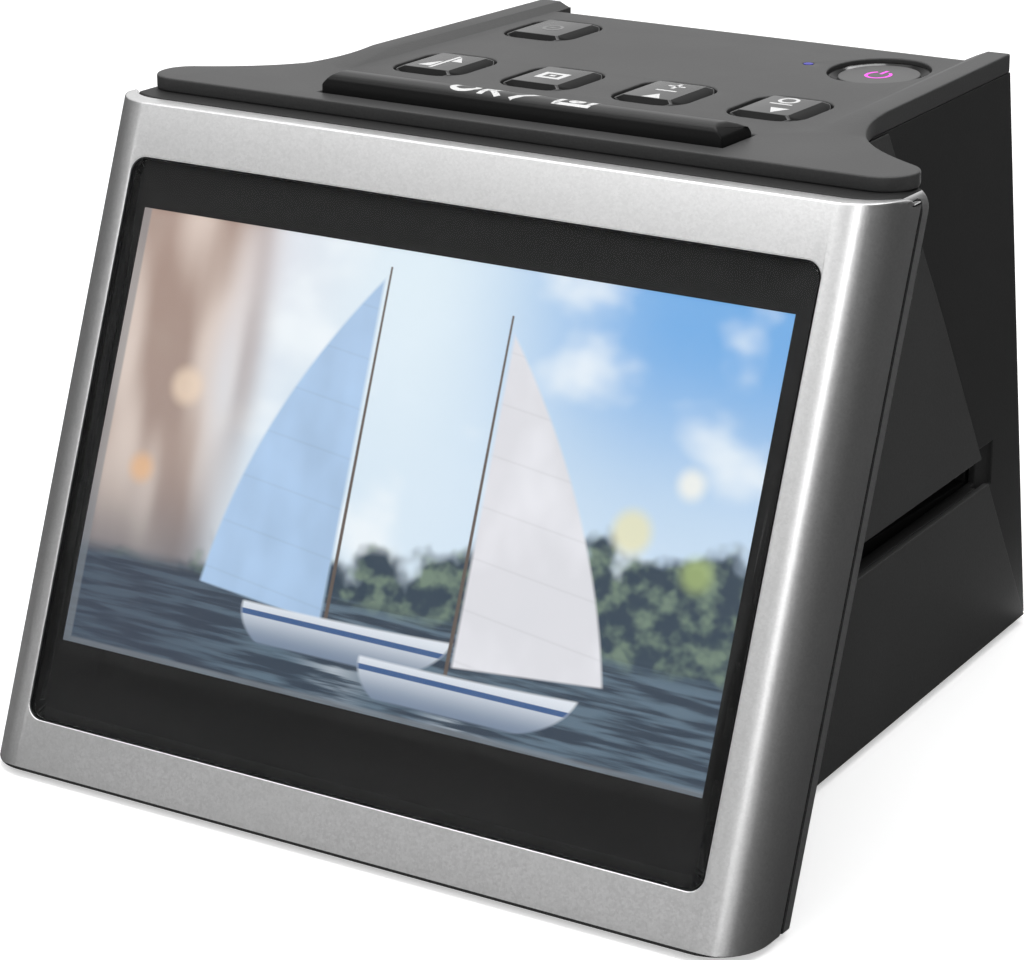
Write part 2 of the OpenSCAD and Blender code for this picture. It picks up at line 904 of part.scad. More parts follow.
module body_screws() {
    color([0.2, 0.2, 0.2])
        at_body_screws()
            translate([0, 0, bezel_depth - seam / 2 + case_screw[2]])
                rotate([180, 0, 0])
                    screw(case_screw, case_len);
}

// ---- top plate and keys

module plate_plan() {
    polygon(concat(plate_side, [for (i = [len(plate_side) - 1:-1:0])
        [-plate_side[i][0], plate_side[i][1]]]));
}

module key_hole(grow) {
    rounded_rect(key_w + 2 * grow, key_l + 2 * grow, key_r + grow);
}

module at_key(i) {
    translate([key_xs[i], key_y, 0])
        children();
}

module at_menu() {
    translate([menu_x, menu_y, 0])
        children();
}

module at_power() {
    translate([power_x, power_y, 0])
        children();
}

module bar_plan(grow) {
    translate([-bar_half - grow, bar_y - grow])
        square([2 * (bar_half + grow), bar_d + 2 * grow]);
}

// The raised rims follow the plate's edge from the neck back, and fade out at the front
module side_rims() {
    fade_y = neck_y - rim_start;
    full_y = neck_y + rim_full;
    rim_in = rim_w + rim_slope;
    intersection() {
        translate([0, 0, plate_top - eps])
            linear_extrude(rim_h + eps)
                plate_plan();
        union()
            for (side = [-1, 1])
                translate([side * half_at(plate_rear), plate_rear, plate_top])
                    rotate([90, 0, side * side_flare])
                        linear_extrude(plate_rear - fade_y)
                            polygon([[side * big / 10, -1], [-side * rim_in, -1], [-side * rim_in, 0],
                                [-side * rim_w, rim_h + eps], [side * big / 10, rim_h + eps]]);
        across(big / 2)
            polygon([[fade_y, plate_top - 1], [fade_y, plate_top], [full_y, plate_top + rim_h + eps],
                [big, plate_top + rim_h + eps], [big, plate_top - 1]]);
    }
}

module top_plate() {
    color([0.36, 0.36, 0.36])
        difference() {
            union() {
                difference() {
                    translate([0, 0, bezel_top])
                        linear_extrude(plate_t)
                            plate_plan();
                    translate([-roll_half, roll_y, bezel_top - 1])
                        cube([2 * roll_half, big, plate_t + 1 + eps]);
                }
                side_rims();
                // Rolled rear edge between the rims
                intersection() {
                    difference() {
                        translate([-roll_half, roll_y, roll_z])
                            rotate([0, 90, 0])
                                cylinder(r = roll_r, h = 2 * roll_half);
                        translate([-roll_half + roll_t, roll_y, roll_z])
                            rotate([0, 90, 0])
                                cylinder(r = roll_r - roll_t, h = 2 * (roll_half - roll_t));
                    }
                    translate([-roll_half, roll_y - eps, roll_z])
                        cube([2 * roll_half, big, big]);
                }
                at_top_screws()
                    translate([0, 0, bezel_top - top_boss_h])
                        cylinder(r = case_screw[0] + boss_wall - 0.4, h = top_boss_h + eps);
                at_key_board_screws()
                    translate([0, 0, key_board_top])
                        cylinder(r = small_screw[0] + boss_wall, h = bezel_top - key_board_top + eps);
            }
            translate([0, 0, bezel_top - 1])
                linear_extrude(plate_t + 2) {
                    for (i = [0:3])
                        at_key(i)
                            key_hole(key_gap);
                    at_menu()
                        key_hole(key_gap);
                    at_power()
                        polygon(ellipse(power_w / 2, power_l / 2));
                    bar_plan(key_gap);
                }
            translate([lens_x, lens_y, bezel_top - 1])
                cylinder(d = lens_dot + 2 * pin_fit, h = plate_t + 2);
            at_top_screws()
                translate([0, 0, bezel_top - top_boss_h - 1])
                    cylinder(r = case_screw[0] + pin_fit, h = top_boss_h + 1);
            at_key_board_screws()
                translate([0, 0, key_board_top - 1])
                    cylinder(r = small_screw[0] + pin_fit, h = 5);
        }
}

module top_screws() {
    color([0.2, 0.2, 0.2])
        at_top_screws()
            translate([0, 0, bezel_top - top_boss_h - shelf_t])
                rotate([180, 0, 0])
                    screw(case_screw, case_len);
}

module key_cap() {
    cap_top = plate_top + key_rise;
    intersection() {
        translate([0, 0, flange_top - eps])
            linear_extrude(cap_top - flange_top + eps)
                key_hole(0);
        intersection_for(turn = [0, 1])
            rotate([90, 0, turn * 90])
                translate([0, 0, -big / 2])
                    linear_extrude(big)
                        let (h = (turn == 0 ? key_w : key_l) / 2)
                        polygon([[-h, 0], [h, 0], [h, plate_top - key_edge], [h - key_slope, cap_top],
                            [key_slope - h, cap_top], [-h, plate_top - key_edge]]);
    }
    translate([0, 0, flange_top - flange_t])
        linear_extrude(flange_t)
            key_hole(key_gap + flange_w);
    translate([0, 0, plunger_top])
        cylinder(r = stem_r, h = flange_top - flange_t - plunger_top + eps);
}

module flip_key() {
    color([0.3, 0.3, 0.3])
        at_key(0)
            key_cap();
}

module mode_key() {
    color([0.3, 0.3, 0.3])
        at_key(1)
            key_cap();
}

module up_key() {
    color([0.3, 0.3, 0.3])
        at_key(2)
            key_cap();
}

module down_key() {
    color([0.3, 0.3, 0.3])
        at_key(3)
            key_cap();
}

module menu_key() {
    color([0.3, 0.3, 0.3])
        at_menu()
            key_cap();
}

module capture_bar() {
    crest = plate_top + bar_rise;
    ends = bar_half - bar_cut;
    color([0.2, 0.2, 0.2])
        union() {
            intersection() {
                across(bar_half)
                    polygon([[bar_y, bar_floor], [bar_y + 0.15, crest - 0.8], [bar_y + 0.7, crest - 0.25],
                        [bar_y + 2.2, crest], [bar_y + 4.2, crest - 0.15], [bar_back - 2.7, crest - 0.7],
                        [bar_back - 0.9, crest - 1.5], [bar_back, crest - 2.4], [bar_back, bar_floor]]);
                translate([0, 0, bar_floor])
                    rotate([90, 0, 0])
                        translate([0, 0, -big / 2])
                            linear_extrude(big)
                                polygon([[-bar_half, -1], [bar_half, -1],
                                    [bar_half, crest - bar_floor - bar_cut], [ends, crest - bar_floor],
                                    [-ends, crest - bar_floor], [-bar_half, crest - bar_floor - bar_cut]]);
            }
            translate([-bar_half, bar_deep_y, flange_top - flange_t])
                cube([2 * bar_half, bar_back - bar_deep_y, bar_floor - flange_top + flange_t + eps]);
            translate([-bar_half, bar_deep_y, flange_top - flange_t])
                cube([2 * bar_half, bar_back - bar_deep_y + key_gap + flange_w, flange_t]);
            for (side = [-1, 1])
                translate([side * bar_stem_x, bar_stem_y, plunger_top])
                    cylinder(r = stem_r, h = flange_top - flange_t - plunger_top + eps);
        }
}

module power_button() {
    a = power_w / 2 - ring_w;
    b = power_l / 2 - ring_l;
    low = bezel_top;
    color([0.4, 0.4, 0.4])
        at_power() {
            translate([0, 0, low])
                linear_extrude(plate_top - power_sink - low)
                    polygon(ellipse(a, b));
            translate([0, 0, flange_top - flange_t - power_travel])
                linear_extrude(flange_t + power_travel + 0.1 + eps)
                    polygon(ellipse(a - 0.8, b - 0.8));
            translate([0, 0, plunger_top])
                cylinder(r = stem_r, h = flange_top - flange_t - power_travel - plunger_top + eps);
        }
}

module power_ring() {
    color([0.1, 0.1, 0.1])
        at_power()
            translate([0, 0, bezel_top])
                difference() {
                    linear_extrude(plate_t - power_sink)
                        polygon(ellipse(power_w / 2 - pin_fit, power_l / 2 - pin_fit));
                    translate([0, 0, -1])
                        linear_extrude(plate_t + 2)
                            polygon(ellipse(power_w / 2 - ring_w + 0.15, power_l / 2 - ring_l + 0.15));
                }
}

module status_lens() {
    color([0.2, 0.3, 1])
        translate([lens_x, lens_y, key_board_top + 1])
            cylinder(d = lens_dot, h = plate_top - key_board_top - 1);
}

// ---- key board and switches

module at_all_switches() {
    for (i = [0:3])
        at_key(i)
            children();
    at_menu()
        children();
    at_power()
        children();
    at_bar_switches()
        children();
}

module at_bar_switches() {
    for (side = [-1, 1])
        translate([side * bar_stem_x, bar_stem_y, 0])
            children();
}

module key_board() {
    color([0.1, 0.35, 0.2])
        difference() {
            translate([-key_board_half, key_board_front, key_board_top - board_t])
                cube([2 * key_board_half, key_board_rear - key_board_front, board_t]);
            at_key_board_screws()
                translate([0, 0, key_board_top - board_t - 1])
                    cylinder(r = small_screw[0] + fit, h = board_t + 2);
        }
}

module key_switches() {
    color([0.15, 0.15, 0.15])
        at_all_switches()
            difference() {
                translate([-switch_w / 2, -switch_w / 2, key_board_top])
                    cube([switch_w, switch_w, switch_h]);
                translate([0, 0, well_base])
                    cylinder(r = plunger_r + pin_fit, h = switch_h);
            }
}

module plunger() {
    translate([0, 0, plunger_base])
        cylinder(r = plunger_r, h = plunger_top - plunger_base);
}

module flip_plunger() {
    color("dimgray")
        at_key(0)
            plunger();
}

module mode_plunger() {
    color("dimgray")
        at_key(1)
            plunger();
}

module up_plunger() {
    color("dimgray")
        at_key(2)
            plunger();
}

module down_plunger() {
    color("dimgray")
        at_key(3)
            plunger();
}

module menu_plunger() {
    color("dimgray")
        at_menu()
            plunger();
}

module power_plunger() {
    color("dimgray")
        at_power()
            plunger();
}

module bar_plungers() {
    color("dimgray")
        at_bar_switches()
            plunger();
}

module status_led() {
    color("white")
        translate([lens_x - 0.8, lens_y - 1.2, key_board_top])
            cube([1.6, 2.4, 1]);
}

// ---- main board

module main_board() {
    color([0.1, 0.35, 0.2])
        difference() {
            translate([-main_half, main_front, main_z])
                cube([2 * main_half, main_rear - main_front, board_t]);
            at_main_screws()
                translate([0, 0, main_z - 1])
                    cylinder(r = small_screw[0] + fit, h = board_t + 2);
        }
}

// Chips, then the ribbon connectors, each standing on a board
module main_chips() {
    color([0.12, 0.12, 0.12]) {
        for (c = chips)
            translate([c[0], c[1], socket_z])
                cube([c[2], c[3], c[4]]);
        for (at = [[0, lcd_ribbon_w], [key_ribbon_x, key_ribbon_w]])
            translate([at[0] - at[1] / 2 - 1, main_front + 1, socket_z])
                cube([at[1] + 2, joiner_d, joiner_h[0]]);
        translate([-camera_ribbon_w / 2 - 1, main_front + 1, main_z - joiner_h[1]])
            cube([camera_ribbon_w + 2, joiner_d, joiner_h[1]]);
        translate([cable_x - cable_w, main_rear - 6, main_z - joiner_h[1]])
            cube([2 * cable_w, joiner_d, joiner_h[1]]);
    }
}

module socket(s) {
    y = back_y(socket_z + s[2]) - 0.5;
    lip = 0.5;
    translate([s[0] - s[1] / 2, y - s[3], socket_z])
        difference() {
            cube([s[1], s[3], s[2]]);
            translate([lip, s[3] * 0.3, lip])
                cube([s[1] - 2 * lip, s[3], s[2] - 2 * lip]);
        }
}

module usb_socket() {
    color([0.75, 0.75, 0.77])
        socket(usb);
}

module video_socket() {
    color([0.75, 0.75, 0.77])
        socket(video);
}

module card_socket() {
    color([0.75, 0.75, 0.77])
        socket(card);
}

// ---- camera and film channel

module camera_board() {
    color([0.1, 0.35, 0.2])
        difference() {
            translate([-camera_board_w / 2, frame_y - camera_board_w / 2, camera_board_z])
                cube([camera_board_w, camera_board_w, board_t]);
            at_camera_screws()
                translate([0, 0, camera_board_z - 1])
                    cylinder(r = small_screw[0] + fit, h = board_t + 2);
        }
}

module image_sensor() {
    color([0.25, 0.25, 0.3])
        translate([-5, frame_y - 5, camera_board_z - sensor_t])
            cube([10, 10, sensor_t]);
}

module camera_holder() {
    color([0.1, 0.1, 0.1])
        difference() {
            union() {
                difference() {
                    translate([-holder_w / 2, frame_y - holder_d / 2, upper_top])
                        cube([holder_w, holder_d, holder_h]);
                    translate([holder_t - holder_w / 2, frame_y - holder_d / 2 + holder_t, upper_top - 1])
                        cube([holder_w - 2 * holder_t, holder_d - 2 * holder_t, holder_h + 1 - holder_t]);
                }
                at_camera_screws()
                    translate([0, 0, holder_top - eps])
                        cylinder(r = small_screw[0] + boss_wall, h = post_h + eps);
                translate([0, frame_y, holder_top - holder_t])
                    cylinder(r = barrel_r + 2, h = holder_t + 2);
            }
            translate([0, frame_y, holder_top - holder_t - 1])
                cylinder(r = barrel_r + pin_fit, h = holder_t + 4);
            at_camera_screws()
                translate([0, 0, camera_board_z - 4])
                    cylinder(r = small_screw[0] + pin_fit, h = 5);
        }
}

module lens_barrel() {
    color([0.15, 0.15, 0.15])
        translate([0, frame_y, barrel_low])
            difference() {
                cylinder(r = barrel_r, h = barrel_l);
                translate([0, 0, -1])
                    cylinder(r = barrel_r - 2, h = barrel_l + 2);
            }
}

module lens_glass() {
    color([0.7, 0.8, 0.9, 0.5])
        for (up = [1, barrel_l - 4])
            translate([0, frame_y, barrel_low + up])
                cylinder(r = barrel_r - 2, h = 2.5);
}

module film_gate(low) {
    difference() {
        translate([-gate_half, slot_front - rail_w - fit, low])
            cube([2 * gate_half, slot_l + 2 * (rail_w + fit), gate_t]);
        translate([-gate_w / 2, frame_y - gate_d / 2, low - 1])
            cube([gate_w, gate_d, gate_t + 2]);
    }
}

module film_gate_upper() {
    color([0.08, 0.08, 0.08])
        difference() {
            film_gate(upper_z);
            at_pillars()
                translate([0, 0, upper_z - 1])
                    cylinder(r = case_screw[0] + fit, h = gate_t + 2);
        }
}

module film_gate_lower() {
    color([0.08, 0.08, 0.08])
        difference() {
            union() {
                film_gate(lower_z);
                for (y = [slot_front - rail_w - fit, slot_rear + fit])
                    translate([-gate_half, y, slot_z - eps])
                        cube([2 * gate_half, rail_w, slot_h + eps]);
            }
            at_pillars()
                translate([0, 0, lower_z - 1])
                    cylinder(r = case_screw[0] + fit, h = gate_t + slot_h + 2);
        }
}

module gate_screws() {
    color([0.6, 0.6, 0.62])
        at_pillars()
            translate([0, 0, upper_top])
                screw(case_screw, gate_screw_len);
}

// ---- light under the film

module light_frame(low, high) {
    translate([-light_w / 2, frame_y - light_d / 2, low])
        difference() {
            cube([light_w, light_d, high - low]);
            translate([light_wall, light_wall, -1])
                cube([light_w - 2 * light_wall, light_d - 2 * light_wall, high - low + 2]);
        }
}

module diffuser_plate() {
    color([0.9, 0.92, 0.95])
        translate([-light_w / 2, frame_y - light_d / 2, light_box_top])
            cube([light_w, light_d, diffuser_t]);
}

module light_box() {
    color("white")
        light_frame(light_box_z, light_box_top);
}

module backlight_board() {
    color([0.9, 0.9, 0.9])
        translate([-light_w / 2, frame_y - light_d / 2, light_board_z])
            cube([light_w, light_d, board_t]);
}

module backlight_leds() {
    color([1, 1, 0.8])
        for (i = [-1:1], j = [-1:1])
            translate([i * led_pitch[0] - led_w / 2, frame_y + j * led_pitch[1] - led_w / 2, light_box_z])
                cube([led_w, led_w, led_h]);
}

module board_screws() {
    color([0.6, 0.6, 0.62]) {
        at_bracket_screws()
            translate([0, 0, lcd_d + lcd_t + bracket_t])
                screw(small_screw, small_len);
        at_key_board_screws()
            translate([0, 0, key_board_top - board_t])
                rotate([180, 0, 0])
                    screw(small_screw, small_len);
        at_main_screws()
            translate([0, 0, main_z + board_t])
                screw(small_screw, small_len);
        at_camera_screws()
            translate([0, 0, camera_board_z + board_t])
                screw(small_screw, small_len);
    }
}

// ---- ribbons and the backlight's cable; their points are y and z

module lcd_ribbon() {
    z = socket_z + 0.9;
    back = lcd_d + lcd_t;
    low_z = main_z - lcd_ribbon_drop;
    mid_z = low_z + lcd_ribbon_drop * 0.3;
    high_z = low_z + lcd_ribbon_drop * 0.6;
    color([0.75, 0.5, 0.2])
        ribbon([[behind_y(back + 0.2, low_z), low_z], [behind_y(back + 0.2, mid_z), mid_z],
            [behind_y(back + 3, high_z), high_z], [main_front - ribbon_turn - 6, z - ribbon_turn],
            [main_front - ribbon_turn, z], [main_front + 1, z]], ribbon_t, lcd_ribbon_w);
}

module key_ribbon() {
    z = socket_z + 0.9;
    top_z = key_board_top - board_t - 0.15;
    y = key_board_front + 5;
    color([0.75, 0.5, 0.2])
        translate([key_ribbon_x, 0, 0])
            ribbon([[y + 4, top_z], [y - 1, top_z - 0.3], [y - 3.5, top_z - 3],
                [y - 2, z + 2], [main_front - 3, z], [main_front + 1, z]], ribbon_t, key_ribbon_w);
}

module camera_ribbon() {
    z = main_z - 0.8;
    low_z = camera_board_z + board_t + 0.15;
    y = frame_y - camera_board_w / 2 + 3;
    color([0.75, 0.5, 0.2])
        ribbon([[y, low_z], [y - 6, low_z + 0.1], [main_front - ribbon_turn, low_z + 1.6],
            [main_front - ribbon_turn, z - 1], [main_front - 1, z], [main_front + 1, z]],
            ribbon_t, camera_ribbon_w);
}

module backlight_cable() {
    z = main_z - 0.8;
    low_z = light_board_z + board_t + 0.5;
    rear = pillar_ys[1] + rail_w + 2.5;
    y = frame_y + light_d / 2;
    color([0.8, 0.1, 0.1])
        translate([cable_x, 0, 0])
            ribbon([[y + 1, low_z], [rear - 6, low_z - 2], [rear, low_z + 4],
                [rear + 1, lower_z], [rear, upper_top + 6], [main_rear - 3, z - 10],
                [main_rear - 4, z - 4], [main_rear - 4, z - 0.75]], cable_t, cable_w);
}

front_bezel();
bezel_back();
window_glass();
window_mask();
lcd_gasket();
lcd_panel();
lcd_bracket();
bezel_screws();
rear_shell();
right_side_panel();
left_side_panel();
bottom_cover();
rubber_feet();
bottom_screws();
body_screws();
top_plate();
top_screws();
capture_bar();
flip_key();
mode_key();
up_key();
down_key();
menu_key();
power_button();
power_ring();
status_lens();
key_board();
key_switches();
flip_plunger();
mode_plunger();
up_plunger();
down_plunger();
menu_plunger();
power_plunger();
bar_plungers();
status_led();
main_board();
main_chips();
usb_socket();
video_socket();
card_socket();
camera_board();
image_sensor();
camera_holder();
lens_barrel();
lens_glass();
board_screws();
film_gate_upper();
film_gate_lower();
gate_screws();
diffuser_plate();
light_box();
backlight_board();
backlight_leds();
lcd_ribbon();
key_ribbon();
camera_ribbon();
backlight_cable();
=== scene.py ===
import json
import math

import bmesh
import bpy
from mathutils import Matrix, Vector

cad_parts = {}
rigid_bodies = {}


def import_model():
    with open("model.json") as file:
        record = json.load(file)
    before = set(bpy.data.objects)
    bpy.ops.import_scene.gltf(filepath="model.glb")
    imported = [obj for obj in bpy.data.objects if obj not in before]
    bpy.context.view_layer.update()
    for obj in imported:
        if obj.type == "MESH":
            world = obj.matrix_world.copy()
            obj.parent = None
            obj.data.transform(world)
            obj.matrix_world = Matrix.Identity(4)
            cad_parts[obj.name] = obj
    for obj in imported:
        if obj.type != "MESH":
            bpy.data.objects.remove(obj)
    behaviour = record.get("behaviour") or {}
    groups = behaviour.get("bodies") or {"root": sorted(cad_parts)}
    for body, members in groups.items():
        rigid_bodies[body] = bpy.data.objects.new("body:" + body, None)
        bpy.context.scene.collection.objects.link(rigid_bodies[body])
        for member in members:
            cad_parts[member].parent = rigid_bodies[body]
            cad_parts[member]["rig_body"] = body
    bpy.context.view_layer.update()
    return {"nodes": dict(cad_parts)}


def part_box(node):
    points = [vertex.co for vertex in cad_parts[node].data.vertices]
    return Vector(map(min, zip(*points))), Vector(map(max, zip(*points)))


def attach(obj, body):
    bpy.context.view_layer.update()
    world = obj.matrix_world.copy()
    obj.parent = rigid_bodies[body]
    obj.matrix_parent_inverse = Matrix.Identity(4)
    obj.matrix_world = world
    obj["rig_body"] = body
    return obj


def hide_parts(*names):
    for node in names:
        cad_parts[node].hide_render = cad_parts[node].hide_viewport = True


# Dresses the film negative scanner: finishes, softened edges, printed marks and the lit display.
# Sizes are in metres, and mm turns a millimetre into one.

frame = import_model()
nodes = frame["nodes"]
mm = 0.001
slotOf = {name: node.material_slots[0].material.name for name, node in nodes.items()}
for material in list(bpy.data.materials):
    bpy.data.materials.remove(material)
print("frame loaded:", len(nodes), "nodes")


def middle(name):
    low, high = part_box(name)
    return (low + high) / 2


def frontNormal(name):
    # Outward direction of the large flat front of a part of the screen
    fronts = [p for p in nodes[name].data.polygons if p.normal.y < -0.5]
    return max(fronts, key=lambda p: p.area).normal.copy()


def meshFrom(name, shape):
    mesh = bpy.data.meshes.new(name)
    shape.to_mesh(mesh)
    shape.free()
    return mesh


def addObject(name, data):
    thing = bpy.data.objects.new(name, data)
    bpy.context.scene.collection.objects.link(thing)
    return thing


# ---- shader node helpers


class Wires:
    # Thin wrapper that adds nodes to a tree, spread out in rows, and joins them
    across, down, rows = 190, 120, 3

    def __init__(self, tree):
        self.tree = tree
        self.column = 0

    def add(self, kind, **values):
        node = self.tree.nodes.new(kind)
        node.location = (self.column * self.across, -(self.column % self.rows) * self.down)
        self.column += 1
        for key, value in values.items():
            setattr(node, key, value)
        return node

    def join(self, source, target):
        self.tree.links.new(source, target)

    def put(self, value, socket):
        if isinstance(value, bpy.types.NodeSocket):
            self.join(value, socket)
        else:
            socket.default_value = value

    def place(self):
        return self.add("ShaderNodeTexCoord").outputs["Object"]

    def math(self, operation, first, second=0.0, clamp=False):
        node = self.add("ShaderNodeMath", operation=operation, use_clamp=clamp)
        self.put(first, node.inputs[0])
        self.put(second, node.inputs[1])
        return node.outputs[0]

    def dot(self, first, second):
        node = self.add("ShaderNodeVectorMath", operation="DOT_PRODUCT")
        self.put(first, node.inputs[0])
        self.put(second, node.inputs[1])
        return node.outputs["Value"]

    def scale(self, colour, factor):
        node = self.add("ShaderNodeVectorMath", operation="SCALE")
        self.put(colour, node.inputs[0])
        self.put(factor, node.inputs["Scale"])
        return node.outputs[0]

    def mix(self, factor, first, second):
        node = self.add("ShaderNodeMix", data_type="RGBA")
        self.put(factor, node.inputs["Factor"])
        self.put(first, node.inputs["A"])
        self.put(second, node.inputs["B"])
        return node.outputs["Result"]

    def ramp(self, value, low, high, outLow=0.0, outHigh=1.0, smooth=False):
        node = self.add("ShaderNodeMapRange", interpolation_type="SMOOTHSTEP" if smooth else "LINEAR")
        for socket, number in zip(node.inputs[:5], (value, low, high, outLow, outHigh)):
            self.put(number, socket)
        return node.outputs[0]

    def noise(self, place, scale, detail=3.0, rough=0.5):
        node = self.add("ShaderNodeTexNoise")
        self.put(place, node.inputs["Vector"])
        for name, number in (("Scale", scale), ("Detail", detail), ("Roughness", rough)):
            self.put(number, node.inputs[name])
        return node.outputs["Fac"]


def newGroup(name, inputs, outputs):
    tree = bpy.data.node_groups.new(name, "ShaderNodeTree")
    kinds = {"value": "NodeSocketFloat", "colour": "NodeSocketColor", "vector": "NodeSocketVector"}
    for label, kind, default in inputs:
        socket = tree.interface.new_socket(name=label, in_out="INPUT", socket_type=kinds[kind])
        socket.default_value = default
    for label, kind in outputs:
        tree.interface.new_socket(name=label, in_out="OUTPUT", socket_type=kinds[kind])
    wires = Wires(tree)
    return wires, wires.add("NodeGroupInput").outputs, wires.add("NodeGroupOutput").inputs


def grey(level):
    # sRGB level 0..255 to a linear grey
    c = level / 255
    c = c / 12.92 if c <= 0.04045 else ((c + 0.055) / 1.055) ** 2.4
    return (c, c, c, 1.0)


def srgb(red, green, blue):
    return (grey(red)[0], grey(green)[0], grey(blue)[0], 1.0)


def tinted(colour, factor):
    return tuple(min(1.0, factor * c) for c in colour[:3]) + (1.0,)


# ---- effects that several finishes share
# A noise is given by its scale per metre, its detail and its roughness

grainLook = dict(
    fine=(2.0, 0.6),  # detail and roughness of the grain, whose scale comes with each finish
    patches=(55.0, 3.0, 0.5),  # where gloss and tone drift slowly
    crests=(0.3, 0.7),  # part of both noises that is spread over the two ranges below
    lift=(0.9, 1.1),
    tone=(0.96, 1.04),
    swing=2.0,
)


def makeMouldGrain(look):
    # Fine spark-eroded grain of moulded plastic, with a slow drift in gloss
    wires, into, out = newGroup(
        "mouldGrain",
        [("Scale", "value", 2600.0), ("Colour", "colour", (0.1, 0.1, 0.1, 1)), ("Gloss", "value", 0.45),
         ("Drift", "value", 0.05)],
        [("Colour", "colour"), ("Roughness", "value"), ("Height", "value")])
    place = wires.place()
    grain = wires.noise(place, into["Scale"], *look["fine"])
    patches = wires.noise(place, *look["patches"])
    lift = wires.ramp(grain, *look["crests"], *look["lift"])
    tone = wires.ramp(patches, *look["crests"], *look["tone"])
    wires.join(wires.scale(into["Colour"], wires.math("MULTIPLY", lift, tone)), out["Colour"])
    drift = wires.math("MULTIPLY", wires.math("SUBTRACT", patches, 0.5), into["Drift"])
    drift = wires.math("MULTIPLY", drift, look["swing"])
    wires.join(wires.math("ADD", into["Gloss"], drift), out["Roughness"])
    wires.join(grain, out["Height"])
    return wires.tree


edgeLook = dict(
    samples=6,
    bend=(0.995, 0.86),  # cosine between the flat and the rounded normal where wear starts and is full
    patches=(420.0, 4.0, 0.6),
    crests=(0.35, 0.65),
)


def makeSoftEdge(look):
    # Rounds sharp edges in the shading, and masks them, where handling polishes and pales the finish
    wires, into, out = newGroup(
        "softEdge", [("Width", "value", 0.0004), ("Breakup", "value", 0.5)],
        [("Mask", "value"), ("Normal", "vector")])
    bevel = wires.add("ShaderNodeBevel", samples=look["samples"])
    wires.join(into["Width"], bevel.inputs["Radius"])
    flat = wires.add("ShaderNodeNewGeometry").outputs["Normal"]
    edge = wires.ramp(wires.dot(bevel.outputs[0], flat), *look["bend"])
    patch = wires.ramp(wires.noise(wires.place(), *look["patches"]), *look["crests"])
    kept = wires.math("SUBTRACT", 1.0, wires.math("MULTIPLY", into["Breakup"], patch))
    wires.join(wires.math("MULTIPLY", edge, kept, clamp=True), out["Mask"])
    wires.join(bevel.outputs[0], out["Normal"])
    return wires.tree


flakeLook = dict(
    clouds=(1800.0, 2.0, 0.6),
    glossSwing=0.04,
)


def makeFlake(look):
    # Metallic paint: fine flakes of differing lightness under a nearly smooth skin
    wires, into, out = newGroup(
        "paintFlake",
        [("Colour", "colour", (0.5, 0.5, 0.5, 1)), ("Flakes", "value", 3300.0), ("Sparkle", "value", 0.2),
         ("Gloss", "value", 0.36)],
        [("Colour", "colour"), ("Roughness", "value"), ("Height", "value")])
    place = wires.place()
    cells = wires.add("ShaderNodeTexVoronoi", feature="F1")
    wires.join(place, cells.inputs["Vector"])
    wires.join(into["Flakes"], cells.inputs["Scale"])
    split = wires.add("ShaderNodeSeparateColor")
    wires.join(cells.outputs["Color"], split.inputs[0])
    fleck = wires.math("SUBTRACT", split.outputs[0], 0.5)
    cloud = wires.math("SUBTRACT", wires.noise(place, *look["clouds"]), 0.5)
    flake = wires.math("ADD", fleck, cloud)
    gain = wires.math("ADD", 1.0, wires.math("MULTIPLY", flake, into["Sparkle"]))
    wires.join(wires.scale(into["Colour"], gain), out["Colour"])
    swing = wires.math("MULTIPLY", flake, look["glossSwing"])
    wires.join(wires.math("ADD", into["Gloss"], swing), out["Roughness"])
    wires.join(split.outputs[1], out["Height"])
    return wires.tree


mouldGrain = makeMouldGrain(grainLook)
softEdge = makeSoftEdge(edgeLook)
paintFlake = makeFlake(flakeLook)
print("shared effects ready")


# ---- finishes
# Where a table of finishes has a base, that gives what a finish doesn't say itself


def newMaterial(name, **sockets):
    # A material with its Principled shader; constants go on the shader's own sockets
    material = bpy.data.materials.new(name)
    material.use_nodes = True
    wires = Wires(material.node_tree)
    shader = material.node_tree.nodes["Principled BSDF"]
    for label, value in sockets.items():
        shader.inputs[label].default_value = value
    return material, wires, shader


def placeGroup(wires, tree, **values):
    node = wires.add("ShaderNodeGroup", node_tree=tree)
    for label, value in values.items():
        wires.put(value, node.inputs[label])
    return node.outputs


def coat(wires, shader, skin):
    wires.join(skin["Colour"], shader.inputs["Base Color"])
    wires.join(skin["Roughness"], shader.inputs["Roughness"])


def bumpFrom(wires, shader, height, strength, distance, normal=None):
    bump = wires.add("ShaderNodeBump")
    if normal:
        wires.join(normal, bump.inputs["Normal"])
    bump.inputs["Strength"].default_value = strength
    bump.inputs["Distance"].default_value = distance
    wires.join(height, bump.inputs["Height"])
    wires.join(bump.outputs[0], shader.inputs["Normal"])


